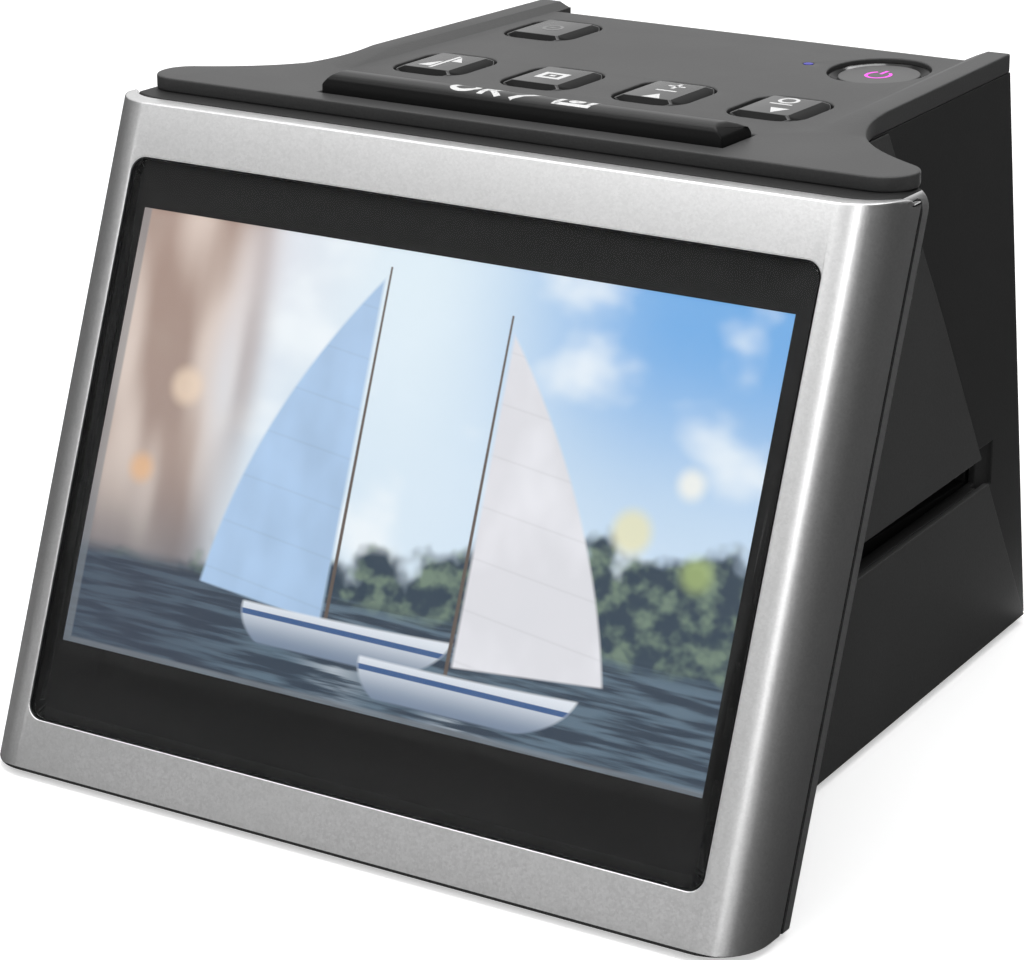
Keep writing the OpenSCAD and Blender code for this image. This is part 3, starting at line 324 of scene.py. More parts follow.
# Moulded plastics and rubbers
plasticBase = dict(
    gloss=0.5,
    shine=0.4,  # how strongly it mirrors
    scale=2200.0,  # grain per metre
    depth=0.1,  # how strongly the grain shows
    bump=0.00006,
    rub=0.1,  # how much the edges pale and polish
    pale=2.2,
    polish=0.15,
    soft=0.1,  # how far the edges are rounded, in millimetres
)
plastics = {
    "black_plastic": dict(colour=grey(41), shine=0.12, scale=2600.0, depth=0.25, rub=0.3, soft=0.2),
    # panel_plastic is a lighter copy of black_plastic: painted light, for the light that falls on the
    # flared side panel
    "panel_plastic": dict(colour=grey(57), shine=0.12, scale=2600.0, depth=0.25, rub=0.4, soft=0.2),
    "grey_plastic": dict(colour=grey(56), gloss=0.46, shine=0.24, scale=2600.0, depth=0.3, rub=0.5,
                         soft=0.35),
    "bar_plastic": dict(colour=grey(22), gloss=0.36, shine=0.16, scale=3200.0, depth=0.15, rub=0.4,
                        soft=0.3),
    "key_plastic": dict(colour=grey(18), gloss=0.28, scale=3200.0, rub=0.2),
    "key_side": dict(colour=grey(16), gloss=0.35, shine=0.03, scale=3200.0, rub=0.0),
    "button_plastic": dict(colour=grey(66), gloss=0.4, shine=0.3, scale=3200.0, depth=0.12, rub=0.3,
                           soft=0.3),
    "ring_plastic": dict(colour=grey(10), gloss=0.15, shine=0.06, scale=3200.0, depth=0.08, soft=0.4),
    "rubber": dict(colour=grey(30), gloss=0.75, shine=0.2, scale=1500.0, depth=0.5, soft=0.4),
    "foam": dict(colour=grey(24), gloss=0.9, shine=0.1, scale=1100.0, depth=0.9, rub=0.0, soft=0.2),
    "chip_plastic": dict(colour=grey(28), depth=0.2),
    "plunger_plastic": dict(colour=grey(60)),
    "gate_plastic": dict(colour=grey(30), gloss=0.6, shine=0.2, scale=2000.0, depth=0.2, rub=0.2,
                         soft=0.2),
    "white_plastic": dict(colour=grey(225), gloss=0.45, scale=2000.0, soft=0.2),
    "cable_plastic": dict(colour=srgb(170, 30, 28), gloss=0.45, scale=1600.0, soft=0.2),
    "ribbon_film": dict(colour=srgb(196, 130, 60), gloss=0.35, shine=0.5, scale=900.0, rub=0.0),
}


def makePlastic(name, given):
    look = {**plasticBase, **given}
    material, wires, shader = newMaterial(name, **{"Specular IOR Level": look["shine"]})
    grain = placeGroup(wires, mouldGrain, Scale=look["scale"], Colour=look["colour"], Gloss=look["gloss"])
    edge = placeGroup(wires, softEdge, Width=look["soft"] * mm)
    worn = wires.math("MULTIPLY", edge["Mask"], look["rub"])
    pale = wires.mix(worn, grain["Colour"], tinted(look["colour"], look["pale"]))
    wires.join(pale, shader.inputs["Base Color"])
    polished = wires.math("SUBTRACT", grain["Roughness"], wires.math("MULTIPLY", worn, look["polish"]))
    wires.join(polished, shader.inputs["Roughness"])
    bumpFrom(wires, shader, grain["Height"], look["depth"], look["bump"], edge["Normal"])
    return material


silverLook = dict(
    colour=grey(209),
    edgeColour=grey(235),
    edgeShow=0.5,
    metal=0.95,
    gloss=0.33,
    sparkle=0.08,
    depth=0.12,
    bump=0.00003,
    soft=0.1,
)


def makeSilverPaint(look):
    material, wires, shader = newMaterial("silver_paint", Metallic=look["metal"])
    flake = placeGroup(wires, paintFlake, Colour=look["colour"], Gloss=look["gloss"],
                       Sparkle=look["sparkle"])
    edge = placeGroup(wires, softEdge, Width=look["soft"] * mm)
    worn = wires.math("MULTIPLY", edge["Mask"], look["edgeShow"])
    wires.join(wires.mix(worn, flake["Colour"], look["edgeColour"]), shader.inputs["Base Color"])
    wires.join(flake["Roughness"], shader.inputs["Roughness"])
    bumpFrom(wires, shader, flake["Height"], look["depth"], look["bump"], edge["Normal"])
    return material


metalBase = dict(scale=1800.0, drift=0.12, depth=0.08, bump=0.00002)
metals = {
    "sheet_metal": dict(colour=grey(185), gloss=0.38),
    "dark_screw": dict(colour=grey(60), gloss=0.35),
    "bright_screw": dict(colour=grey(200), gloss=0.25),
}


def makeMetal(name, given):
    look = {**metalBase, **given}
    material, wires, shader = newMaterial(name, Metallic=1.0)
    grain = placeGroup(wires, mouldGrain, Scale=look["scale"], Colour=look["colour"], Gloss=look["gloss"],
                       Drift=look["drift"])
    coat(wires, shader, grain)
    bumpFrom(wires, shader, grain["Height"], look["depth"], look["bump"])
    return material


glassBase = dict(smears=(30.0, 4.0, 0.6), smearGloss=(0.4, 0.8, 0.0, 0.03), smearTint=(0.3, 0.7))
glasses = {
    "window_glass": dict(ior=1.15, colour=(0.97, 0.98, 0.98, 1)),
    "optic_glass": dict(ior=1.5, colour=(0.9, 0.95, 1.0, 1)),
}


def makeGlass(name, given):
    look = {**glassBase, **given}
    material, wires, shader = newMaterial(name, **{"Transmission Weight": 1.0, "IOR": look["ior"]})
    smear = wires.noise(wires.place(), *look["smears"])
    wires.join(wires.ramp(smear, *look["smearGloss"]), shader.inputs["Roughness"])
    clear = wires.mix(wires.ramp(smear, *look["smearTint"]), look["colour"], (1, 1, 1, 1))
    wires.join(clear, shader.inputs["Base Color"])
    return material


lensBase = dict(
    shine=0.1,
    clouds=(900.0, 2.0, 0.5),
    crests=(0.3, 0.7),
    level=(0.8, 1.1),
    gloss=(0.2, 0.35),
)
lenses = {
    "blue_lens": dict(colour=srgb(30, 22, 150), glow=0.25),
    "led_lens": dict(colour=srgb(250, 246, 220), glow=0.2),
}


def makeLens(name, given):
    # Clear plastic with light behind it
    look = {**lensBase, **given}
    material, wires, shader = newMaterial(
        name, **{"Emission Strength": look["glow"], "Specular IOR Level": look["shine"]})
    cloud = wires.ramp(wires.noise(wires.place(), *look["clouds"]), *look["crests"], *look["level"])
    lit = wires.scale(look["colour"][:3], cloud)
    wires.join(lit, shader.inputs["Base Color"])
    wires.join(lit, shader.inputs["Emission Color"])
    wires.join(wires.ramp(cloud, *look["level"], *look["gloss"]), shader.inputs["Roughness"])
    return material


inkBase = dict(shine=0.3, scale=3000.0, gloss=0.45, glow=0.0)
inks = {
    "black_print": dict(colour=grey(32), shine=0.15, scale=900.0, gloss=0.5),
    "white_ink": dict(colour=grey(215)),
    "faint_ink": dict(colour=grey(120)),
    "lit_ink": dict(colour=srgb(205, 60, 190), glow=0.9),
}


def makeInk(name, given):
    look = {**inkBase, **given}
    material, wires, shader = newMaterial(
        name, **{"Specular IOR Level": look["shine"], "Emission Strength": look["glow"]})
    grain = placeGroup(wires, mouldGrain, Scale=look["scale"], Colour=look["colour"], Gloss=look["gloss"])
    coat(wires, shader, grain)
    if look["glow"]:
        wires.join(grain["Colour"], shader.inputs["Emission Color"])
    return material


boardLook = dict(
    mask=srgb(16, 78, 44),
    maskLow=srgb(14, 66, 38),
    track=srgb(30, 110, 62),
    scale=260.0,
    line=0.03,
    stagger=0.5,
    gloss=(0.34, 0.5),
    depth=0.3,
    bump=0.00004,
)


def makeCircuitBoard(look):
    # Green solder mask over a faint pattern of tracks
    material, wires, shader = newMaterial("circuit_board")
    tracks = wires.add("ShaderNodeTexBrick", offset=look["stagger"])
    wires.join(wires.place(), tracks.inputs["Vector"])
    for label, value in (("Color1", look["mask"]), ("Color2", look["maskLow"]), ("Mortar", look["track"]),
                         ("Scale", look["scale"]), ("Mortar Size", look["line"])):
        tracks.inputs[label].default_value = value
    wires.join(tracks.outputs["Color"], shader.inputs["Base Color"])
    wires.join(wires.ramp(tracks.outputs["Fac"], 0.0, 1.0, *look["gloss"]), shader.inputs["Roughness"])
    bumpFrom(wires, shader, tracks.outputs["Fac"], look["depth"], look["bump"])
    return material


finishes = {"silver_paint": makeSilverPaint(silverLook), "circuit_board": makeCircuitBoard(boardLook)}
for make, looks in ((makePlastic, plastics), (makeMetal, metals), (makeGlass, glasses),
                    (makeLens, lenses), (makeInk, inks)):
    for name, look in looks.items():
        finishes[name] = make(name, look)
print("finishes ready:", len(finishes))


# ---- the lit display: a soft seaside picture of two sailing boats, drawn by nodes

displayLook = dict(
    width=108 * mm,
    height=64.8 * mm,
    aspect=1.667,
    unlit=grey(20),
    gloss=0.3,
    glow=1.0,
    edge=0.9 * mm,  # paler strip of the panel that shows at the left and below
    edgeFull=0.6,  # share of the strip in which it is full
    edgeShow=0.6,
    edgeColour=srgb(128, 134, 140),
    skyLeft=srgb(226, 220, 226),
    skyMiddle=srgb(222, 236, 245),
    skyRight=srgb(112, 170, 226),
    haze=srgb(214, 230, 243),
    cloud=srgb(240, 246, 250),
    town=srgb(150, 118, 98),
    townLight=srgb(216, 196, 182),
    townDark=srgb(66, 62, 68),
    townWaver=0.12,
    trees=srgb(44, 62, 78),
    treesLight=srgb(112, 132, 116),
    shoreRough=-0.3,  # how far the trees' tops reach up
    shoreRise=0.32,  # how much the shore rises to the right
    water=srgb(92, 112, 128),
    waterDark=srgb(46, 60, 76),
    waterLeft=srgb(52, 60, 76),
    # waves across and up the picture, detail and roughness of each pattern
    patterns=dict(
        clouds=(5.0, 4.0, 3.0, 0.45),
        bands=(13.0, 2.2, 0.6, 0.4),
        shore=(9.0, 5.0, 3.0, 0.6),
        leaves=(30.0, 20.0, 2.0, 0.5),
        ripples=(7.0, 60.0, 3.0, 0.5),
        folds=(14.0, 5.0, 2.0, 0.5),
    ),
    # where a change starts and ends, and its strength at both where that isn't 0 and 1
    steps=dict(
        skyMiddle=(0.05, 0.45),
        skyRight=(0.45, 0.85),
        haze=(0.95, 0.45, 0.0, 0.8),
        clouds=(0.5, 0.7, 0.0, 0.8),
        bands=(0.36, 0.66),
        townLow=(0.5, 0.1),
        townEnd=(0.27, 0.13, 0.0, 0.85),
        shore=(0.06, 0.0),
        leaves=(0.4, 0.7),
        ripples=(0.4, 0.62),
        waterLeft=(0.4, 0.1, 0.0, 0.6),
        waterLine=(0.25, 0.2),
        glint=(0.45, 0.62, 0.0, 0.75),
    ),
    lightShow=0.7,
    lightSoft=0.02,
    lights=(
        # across, up, radius and colour
        (0.9, 0.62, 0.03, srgb(255, 250, 235)),
        (0.83, 0.5, 0.045, srgb(235, 226, 170)),
        (0.93, 0.44, 0.035, srgb(170, 190, 120)),
        (0.12, 0.62, 0.04, srgb(238, 214, 190)),
        (0.07, 0.42, 0.03, srgb(230, 180, 130)),
    ),
    boats=(
        # at: the mast; corners: of the sail; bows: how far its three edges curve outwards
        dict(at=0.405, mastTop=0.96, sail=srgb(176, 205, 238), bows=(0.0, 0.0, 0.035),
             corners=((0.2, 0.2), (0.4, 0.17), (0.4, 0.93))),
        dict(at=0.6, mastTop=0.9, sail=srgb(240, 240, 246), bows=(0.0, 0.03, 0.0),
             corners=((0.61, 0.14), (0.83, 0.17), (0.61, 0.86))),
    ),
)
boatLook = dict(
    soft=0.003,
    sailTurn=0.5,  # how much a sail darkens from left to right
    sailShade=(0.4, 0.9, 1.0, 0.82),
    seams=9.0,
    seamSlope=0.2,
    seamShade=(0.0, 0.04, 0.93, 1.0),
    mast=srgb(96, 84, 78),
    mastFoot=0.1,
    mastSides=(0.0, 0.006, 0.004, 0.001),  # left and right below, right and left above
    mastSoft=0.001,
    deckDrop=0.02,  # from the foot of the sail
    hull=srgb(222, 228, 236),
    hullLow=srgb(120, 136, 158),
    hullCorners=((-0.13, 0.0), (-0.1, -0.085), (0.12, -0.085), (0.2, 0.01)),  # from the mast and the deck
    hullBows=(0.01, 0.0, 0.015, -0.004),
    keel=-0.085,
    bowTop=0.01,
    mirrorAt=(0.03, -0.1),
    mirrorSize=(0.02, 0.12),
    stripe=srgb(60, 92, 140),
    stripeDrop=0.022,
    stripeHalf=(0.007, 0.005),
)
screenOut = frontNormal("lcd_panel")
screenUp = Vector((0, screenOut.z, -screenOut.y))


def makeDisplay(look, craft):
    material, wires, shader = newMaterial(
        "display", **{"Base Color": look["unlit"], "Emission Strength": look["glow"],
                      "Roughness": look["gloss"]})
    place = wires.place()
    centre = middle("lcd_panel")

    def along(direction, size):
        shifted = wires.math("SUBTRACT", wires.dot(place, direction), centre.dot(direction))
        return wires.math("ADD", wires.math("DIVIDE", shifted, size), 0.5)

    s = along(Vector((1, 0, 0)), look["width"])  # 0 at the left of the picture, 1 at the right
    t = along(screenUp, look["height"])  # 0 at the bottom, 1 at the top

    def spread(across, up):
        both = wires.add("ShaderNodeCombineXYZ")
        wires.join(wires.math("MULTIPLY", s, across), both.inputs[0])
        wires.join(wires.math("MULTIPLY", t, up), both.inputs[1])
        return both.outputs[0]

    def pattern(name):
        across, up, detail, rough = look["patterns"][name]
        return wires.noise(spread(across, up), 1.0, detail, rough)

    def step(value, name):
        return wires.ramp(value, *look["steps"][name], smooth=True)

    def weighed(first, second, away):
        # first shares of s plus second shares of t, plus away
        both = wires.math("ADD", wires.math("MULTIPLY", s, first), wires.math("MULTIPLY", t, second))
        return wires.math("ADD", both, away)

    def side(a, b, soft, bow):
        # 1 on the left of the line from a to b, with a soft edge; bow curves the line outwards
        dx, dy = b[0] - a[0], b[1] - a[1]
        length = math.hypot(dx, dy)
        gap = weighed(-dy / length, dx / length, (a[0] * dy - a[1] * dx) / length)
        if bow:
            square = length ** 2
            run = weighed(dx / square, dy / square, -(a[0] * dx + a[1] * dy) / square)
            hump = wires.math("MULTIPLY", run, wires.math("SUBTRACT", 1.0, run))
            gap = wires.math("ADD", gap, wires.math("MULTIPLY", hump, 4 * bow))
        return wires.ramp(gap, -soft, soft)

    def outline(corners, bows, soft):
        mask = None
        for i, bow in enumerate(bows):
            edge = side(corners[i], corners[(i + 1) % len(corners)], soft, bow)
            mask = edge if mask is None else wires.math("MULTIPLY", mask, edge)
        return mask

    def blob(x, y, radius, soft):
        away = wires.add("ShaderNodeVectorMath", operation="DISTANCE")
        wires.join(spread(look["aspect"], 1.0), away.inputs[0])
        away.inputs[1].default_value = (x * look["aspect"], y, 0)
        return wires.ramp(away.outputs["Value"], radius + soft, radius - soft, smooth=True)

    # Sky, from a pale left to a blue right, with haze low down and clouds
    sky = wires.mix(step(s, "skyMiddle"), look["skyLeft"], look["skyMiddle"])
    sky = wires.mix(step(s, "skyRight"), sky, look["skyRight"])
    sky = wires.mix(step(t, "haze"), sky, look["haze"])
    picture = wires.mix(step(pattern("clouds"), "clouds"), sky, look["cloud"])

    # Out of focus town on the left, in soft upright bands
    bands = pattern("bands")
    town = wires.mix(step(bands, "bands"), look["town"], look["townLight"])
    town = wires.mix(step(t, "townLow"), town, look["townDark"])
    waver = wires.math("MULTIPLY", wires.math("SUBTRACT", bands, 0.5), look["townWaver"])
    picture = wires.mix(step(wires.math("ADD", s, waver), "townEnd"), picture, town)

    # Wooded shore behind the boats, and lights out of focus before it
    shore = wires.math("ADD", t, wires.math("MULTIPLY", pattern("shore"), look["shoreRough"]))
    shore = wires.math("SUBTRACT", shore, wires.math("MULTIPLY", s, look["shoreRise"]))
    trees = wires.mix(step(pattern("leaves"), "leaves"), look["trees"], look["treesLight"])
    picture = wires.mix(step(shore, "shore"), picture, trees)
    for x, y, radius, colour in look["lights"]:
        light = blob(x, y, radius, look["lightSoft"])
        picture = wires.mix(wires.math("MULTIPLY", light, look["lightShow"]), picture, colour)

    # Water with long low ripples
    ripples = pattern("ripples")
    water = wires.mix(step(ripples, "ripples"), look["waterDark"], look["water"])
    water = wires.mix(step(s, "waterLeft"), water, look["waterLeft"])
    picture = wires.mix(step(t, "waterLine"), picture, water)

    def withSail(picture, boat):
        shade = wires.math("ADD", pattern("folds"), wires.math("MULTIPLY", s, craft["sailTurn"]))
        shade = wires.ramp(shade, *craft["sailShade"])
        rows = wires.math("ADD", t, wires.math("MULTIPLY", s, craft["seamSlope"]))
        rows = wires.math("FRACT", wires.math("MULTIPLY", rows, craft["seams"]))
        seams = wires.math("ABSOLUTE", wires.math("SUBTRACT", rows, 0.5))
        seams = wires.ramp(seams, *craft["seamShade"])
        cloth = wires.scale(boat["sail"][:3], wires.math("MULTIPLY", shade, seams))
        picture = wires.mix(outline(boat["corners"], boat["bows"], craft["soft"]), picture, cloth)
        foot, top = craft["mastFoot"], boat["mastTop"]
        sides = [boat["at"] + side for side in craft["mastSides"]]
        mast = outline(tuple(zip(sides, (foot, foot, top, top))), (0, 0, 0, 0), craft["mastSoft"])
        return wires.mix(mast, picture, craft["mast"])

    def withHull(picture, boat):
        at = boat["at"]
        deck = boat["corners"][0][1] - craft["deckDrop"]
        mirror = blob(at + craft["mirrorAt"][0], deck + craft["mirrorAt"][1], *craft["mirrorSize"])
        mirror = wires.math("MULTIPLY", mirror, step(ripples, "glint"))
        picture = wires.mix(mirror, picture, craft["hull"])
        rise = wires.ramp(t, deck + craft["keel"], deck + craft["bowTop"], smooth=True)
        planks = wires.mix(rise, craft["hullLow"], craft["hull"])
        corners = [(at + x, deck + y) for x, y in craft["hullCorners"]]
        hull = outline(corners, craft["hullBows"], craft["soft"])
        picture = wires.mix(hull, picture, planks)
        stripe = wires.math("ABSOLUTE", wires.math("SUBTRACT", t, deck - craft["stripeDrop"]))
        stripe = wires.math("MULTIPLY", wires.ramp(stripe, *craft["stripeHalf"]), hull)
        return wires.mix(stripe, picture, craft["stripe"])

    for boat in look["boats"]:
        picture = withHull(withSail(picture, boat), boat)

    # The panel's paler edge
    edges = [wires.ramp(value, look["edge"] / size, look["edgeFull"] * look["edge"] / size)
             for value, size in ((s, look["width"]), (t, look["height"]))]
    edge = wires.math("MULTIPLY", wires.math("MAXIMUM", *edges), look["edgeShow"])
    wires.join(wires.mix(edge, picture, look["edgeColour"]), shader.inputs["Emission Color"])
    return material


finishes["display"] = makeDisplay(displayLook, boatLook)
print("display drawn")


# ---- finishes go on the nodes

for name, node in nodes.items():
    node.material_slots[0].material = finishes[slotOf[name]]
print("finishes set on the nodes")


# ---- rounded copies: the mouldings that show get the small radius that a mould leaves on every edge

roundLook = dict(
    merge=0.05 * mm,
    flat=math.radians(0.3),  # faces that differ by less become one
    corner=math.radians(30),  # edges sharper than this are rounded
    crisp=math.radians(40),  # edges that are still sharper than this are shaded as edges
    segments=2,
    # cosines: of the faces inside the bezel's joint, of the glass's rim, and of a key's flat top
    joint=0.3,
    rim=0.7,
    keyTop=0.97,
    pieces={
        # radius in millimetres; behind: edges wholly behind this y stay sharp; crease: longer edges
        # between the moulding's own faces stay crisp; bare: finish of the faces that carry no paint,
        # which also darkens the bezel's joint and foot as painted shade; dish: how far a ring's top falls
        # towards its hole; trim: height of the unpainted band above the foot, darkened as a painted
        # shadow
        "front_bezel": dict(radius=0.25, bareOrShade="black_plastic", footShadow=0.4),
        "bezel_back": dict(radius=0.2, bareOrShade="black_plastic"),
        "window_glass": dict(radius=0.1, bareOrShade="black_print"),
        "top_plate": dict(radius=0.3, behind=46.0, crease=20.0),
        "right_side_panel": dict(radius=0.2),
        "left_side_panel": dict(radius=0.2),
        "rear_shell": dict(radius=0.15, crease=20.0),
        "bottom_cover": dict(radius=0.25),
        "capture_bar": dict(radius=0.3),
        "power_button": dict(radius=0.25),
        "power_ring": dict(radius=0.12, dish=0.95),
        "flip_key": dict(radius=0.25, bareOrShade="key_side"),
        "mode_key": dict(radius=0.25, bareOrShade="key_side"),
        "up_key": dict(radius=0.25, bareOrShade="key_side"),
        "down_key": dict(radius=0.25, bareOrShade="key_side"),
        "menu_key": dict(radius=0.25, bareOrShade="key_side"),
    },
    ringTop=0.05 * mm,  # how near its top a point of the ring lies to count as part of it
    ringHole=0.9,  # share of the ring's radius inside which that top falls
)
bezelOut = frontNormal("front_bezel")
bezelDown = Vector((0, -bezelOut.z, bezelOut.y))


def isBareOrShade(name, face, fillet, look):
    # The bezel back is unpainted inside the joint, and its dark there is painted shade in the gap; the
    # glass has printed rims, and a key is polished only on its flat top and its rounded edges
    if name == "bezel_back":
        return face.normal.dot(bezelOut) > look["joint"]
    if name == "window_glass":
        return abs(face.normal.dot(bezelOut)) < look["rim"]
    return not fillet and face.normal.z < look["keyTop"]


def shadowedFoot(shape, height):
    # Cuts the faces along a line above the bezel's foot and returns those below it, which stay unpainted:
    # their dark finish is a painted shadow along the foot
    line = max(v.co.dot(bezelDown) for v in shape.verts) - height
    bmesh.ops.bisect_plane(shape, geom=shape.verts[:] + shape.edges[:] + shape.faces[:], dist=0.001 * mm,
                           plane_co=bezelDown * line, plane_no=bezelDown)
    return {f for f in shape.faces if f.calc_center_median().dot(bezelDown) > line}


def dishTop(shape, name, depth, look):
    # Lowers the rim of the hole in a ring's flat top, so that the top slopes inwards
    low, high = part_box(name)
    centre, half = (low + high) / 2, (high - low) / 2
    for vertex in shape.verts:
        reach = math.hypot((vertex.co.x - centre.x) / half.x, (vertex.co.y - centre.y) / half.y)
        if vertex.co.z > high.z - look["ringTop"] and reach < look["ringHole"]:
            vertex.co.z -= depth
    bmesh.ops.triangulate(shape, faces=shape.faces)


def roundEdges(name, look, piece):
    node = nodes[name]
    shape = bmesh.new()
    shape.from_mesh(node.data)
    bmesh.ops.remove_doubles(shape, verts=shape.verts, dist=look["merge"])
    bmesh.ops.dissolve_limit(shape, angle_limit=look["flat"], verts=shape.verts, edges=shape.edges)
    if "dish" in piece:
        dishTop(shape, name, piece["dish"] * mm, look)
    behind = piece.get("behind", math.inf) * mm
    crease = piece.get("crease", math.inf) * mm
    sharp = [e for e in shape.edges if e.calc_face_angle(0) > look["corner"]
             and min(v.co.y for v in e.verts) < behind]
    rounded = bmesh.ops.bevel(shape, geom=sharp, offset=piece["radius"] * mm, offset_type="OFFSET",
                              segments=look["segments"], profile=0.5, affect="EDGES", clamp_overlap=False)
    fillets = set(rounded["faces"])
    # the band along the bezel's foot takes the dark finish, a painted shadow under the bezel
    foot = shadowedFoot(shape, piece["footShadow"] * mm) if "footShadow" in piece else None
    for edge in shape.edges:
        own = not any(f in fillets for f in edge.link_faces)
        soft = edge.calc_face_angle(0) < look["crisp"]
        edge.smooth = soft and not (own and edge.calc_length() > crease)
    for face in shape.faces:
        face.smooth = True
        if foot is None:
            face.material_index = int("bareOrShade" in piece and isBareOrShade(name, face, face in fillets, look))
        else:
            face.material_index = int(face in foot)
    bmesh.ops.triangulate(shape, faces=[f for f in shape.faces if len(f.verts) > 4])
    mesh = meshFrom(name, shape)
    mesh.materials.append(node.material_slots[0].material)
    if "bareOrShade" in piece:
        mesh.materials.append(finishes[piece["bareOrShade"]])
    copy = addObject("rounded_" + name, mesh)
    copy.modifiers.new("weighted", "WEIGHTED_NORMAL").keep_sharp = True
    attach(copy, node["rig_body"])
    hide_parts(name)


for name, piece in roundLook["pieces"].items():
    roundEdges(name, roundLook, piece)
print("edges rounded on", len(roundLook["pieces"]), "mouldings")


# ---- printed marks: thin inks that lie on the keys, the capture bar and the power button


def stroke(points, width, closed=False, mitre=0.5):
    # A band of ink along the points: quads between its left and right edges, mitred at the corners;
    # mitre is the cosine from which a corner's point is cut back
    count = len(points)
    flat = [Vector(p) for p in points]
    edges = []
    for i, here in enumerate(flat):
        before = flat[i - 1] if closed or i > 0 else here
        after = flat[(i + 1) % count] if closed or i < count - 1 else here
        way = ((here - before).normalized() + (after - here).normalized()).normalized()
        side = Vector((-way.y, way.x))
        turn = (after - here).normalized() if after != here else way
        reach = width / 2 / max(mitre, abs(way.dot(turn)))
        edges.append((here + side * reach, here - side * reach))
    last = count if closed else count - 1
    return [[edges[i][0], edges[(i + 1) % count][0], edges[(i + 1) % count][1], edges[i][1]]
            for i in range(last)]


def arc(centre, across, along, start, stop, steps):
    turns = [math.radians(start + (stop - start) * i / steps) for i in range(steps + 1)]
    return [(centre[0] + across * math.cos(t), centre[1] + along * math.sin(t)) for t in turns]


def sliced(points, step):
    # Adds points along a line, so that the ink follows a curved surface
    result = []
    for a, b in zip(points, points[1:]):
        parts = max(1, round((Vector(b) - Vector(a)).length / step))
        result += [tuple(Vector(a).lerp(Vector(b), i / parts)) for i in range(parts)]
    return result + [points[-1]]


# Points in millimetres, to the right and to the rear; a key's from its middle. Solids are filled in,
# lines are open strokes and loops closed ones, and line is a stroke's width
keyLook = {
    "flip_key": dict(
        solids=([(-0.5, -3.6), (-0.5, 0.4), (-2.6, -3.6)], [(0.7, 0.6), (2.6, 0.6), (0.7, 3.6)]),
        lines=([(0.1, -4.4), (0.1, 4.2)],)),
    "mode_key": dict(
        line=0.9,
        loops=([(-1.7, -1.5), (1.7, -1.5), (1.7, 1.5), (-1.7, 1.5)],),
        solids=([(-0.5, -0.4), (0.5, -0.4), (0.5, 0.4), (-0.5, 0.4)],)),
    "up_key": dict(
        solids=([(-0.9, -5.2), (2.1, -5.2), (0.6, -2.4)],),
        lines=([(-1.4, 0.0), (2.0, 0.0)], [(0.3, 1.6), (0.3, 4.8)], [(-1.1, 3.2), (1.7, 3.2)])),
    "down_key": dict(
        solids=([(-0.7, -1.6), (0.8, -4.6), (2.3, -1.6)],),
        lines=([(-2.2, 0.9), (1.4, 0.9)],),
        loops=(arc((-0.4, 3.4), 1.3, 1.5, 0, 350, 18),)),
    "menu_key": dict(
        ink="faint_ink",
        lines=(arc((0, 0), 1.4, 1.7, 0, 360, 24), [(-0.6, 0), (0.6, 0)])),
}
buttonLook = {
    "power_button": dict(
        mark="power_mark", ink="lit_ink", line=0.5,
        lines=(arc((0, -0.3), 1.75, 2.3, 125, 415, 30), [(0, 0.4), (0, 2.9)])),
}
barLook = dict(
    start=1.0,  # from the bar's front face to the lettering
    line=0.95,
    slice=0.5,  # length of the steps in which a stroke follows the bar's bowed top
    bands=3,  # side by side in a stroke, so that it bends across its width too
    lines=(
        arc((-10.2, 2.3), 1.9, 1.825, 0, 360, 40),
        [(-6.6, 0.0), (-6.6, 4.6)],
        [(-6.4, 2.1), (-3.5, 4.6)],
        [(-5.9, 2.5), (-3.5, 0.0)],
        [(-1.4, -0.2), (2.6, 4.8)],
        [(5.9, 0.45), (11.0, 0.45), (11.0, 4.1), (5.9, 4.1), (5.9, 0.0)],
        arc((8.5, 2.3), 0.75, 0.75, 0, 360, 20),
        [(7.6, 4.5), (9.4, 4.5)],
    ),
)
inkLook = dict(
    line=0.55,  # width of a stroke where a mark gives none
    thick=0.04,
    merge=0.005,
)


def layInk(name, faces, centre, height, body, ink, look):
    # The faces round centre, in millimetres, become a thin closed film whose middle follows height(y)
    shape = bmesh.new()
    for face in faces:
        places = [(centre[0] + point[0], centre[1] + point[1]) for point in face]
        corners = [(x, y, height(y) + look["thick"] / 2) for x, y in places]
        shape.faces.new([shape.verts.new((x * mm, y * mm, z * mm)) for x, y, z in corners])
    bmesh.ops.remove_doubles(shape, verts=shape.verts, dist=look["merge"] * mm)
    lower = bmesh.ops.extrude_face_region(shape, geom=shape.faces[:])["geom"]
    for vertex in lower:
        if isinstance(vertex, bmesh.types.BMVert):
            vertex.co.z -= look["thick"] * mm
    bmesh.ops.recalc_face_normals(shape, faces=shape.faces)
    mesh = meshFrom(name, shape)
    mesh.materials.append(finishes[ink])
    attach(addObject(name, mesh), body)


def topProfile(name):
    # Height of a bar's bowed top, in millimetres, as a function of y: the upper outline of its points
    points = {(round(v.co.y / mm, 3), round(v.co.z / mm, 3)) for v in nodes[name].data.vertices}
    outline = []
    for y, z in sorted(points):
        while len(outline) > 1:
            (y1, z1), (y2, z2) = outline[-2:]
            if (z2 - z1) * (y - y1) > (z - z1) * (y2 - y1):
                break
            outline.pop()
        outline.append((y, z))

    def height(y):
        for (y1, z1), (y2, z2) in zip(outline, outline[1:]):
            if y1 <= y <= y2:
                return z1 + (z2 - z1) * (y - y1) / max(y2 - y1, 1e-6)
        return outline[-1][1]
    return height


def flatTop(name):
    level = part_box(name)[1].z / mm
    return lambda y: level


def printKeys(keys, look):
    for key, mark in keys.items():
        line = mark.get("line", look["line"])
        faces = list(mark.get("solids", ()))
        for points in mark.get("lines", ()):
            faces += stroke(points, line)
        for points in mark.get("loops", ()):
            faces += stroke(points, line, closed=True)
        at = middle(key) / mm
        layInk(mark.get("mark", key + "_mark"), faces, (at.x, at.y), flatTop(key), key + "_body",
               mark.get("ink", "white_ink"), look)


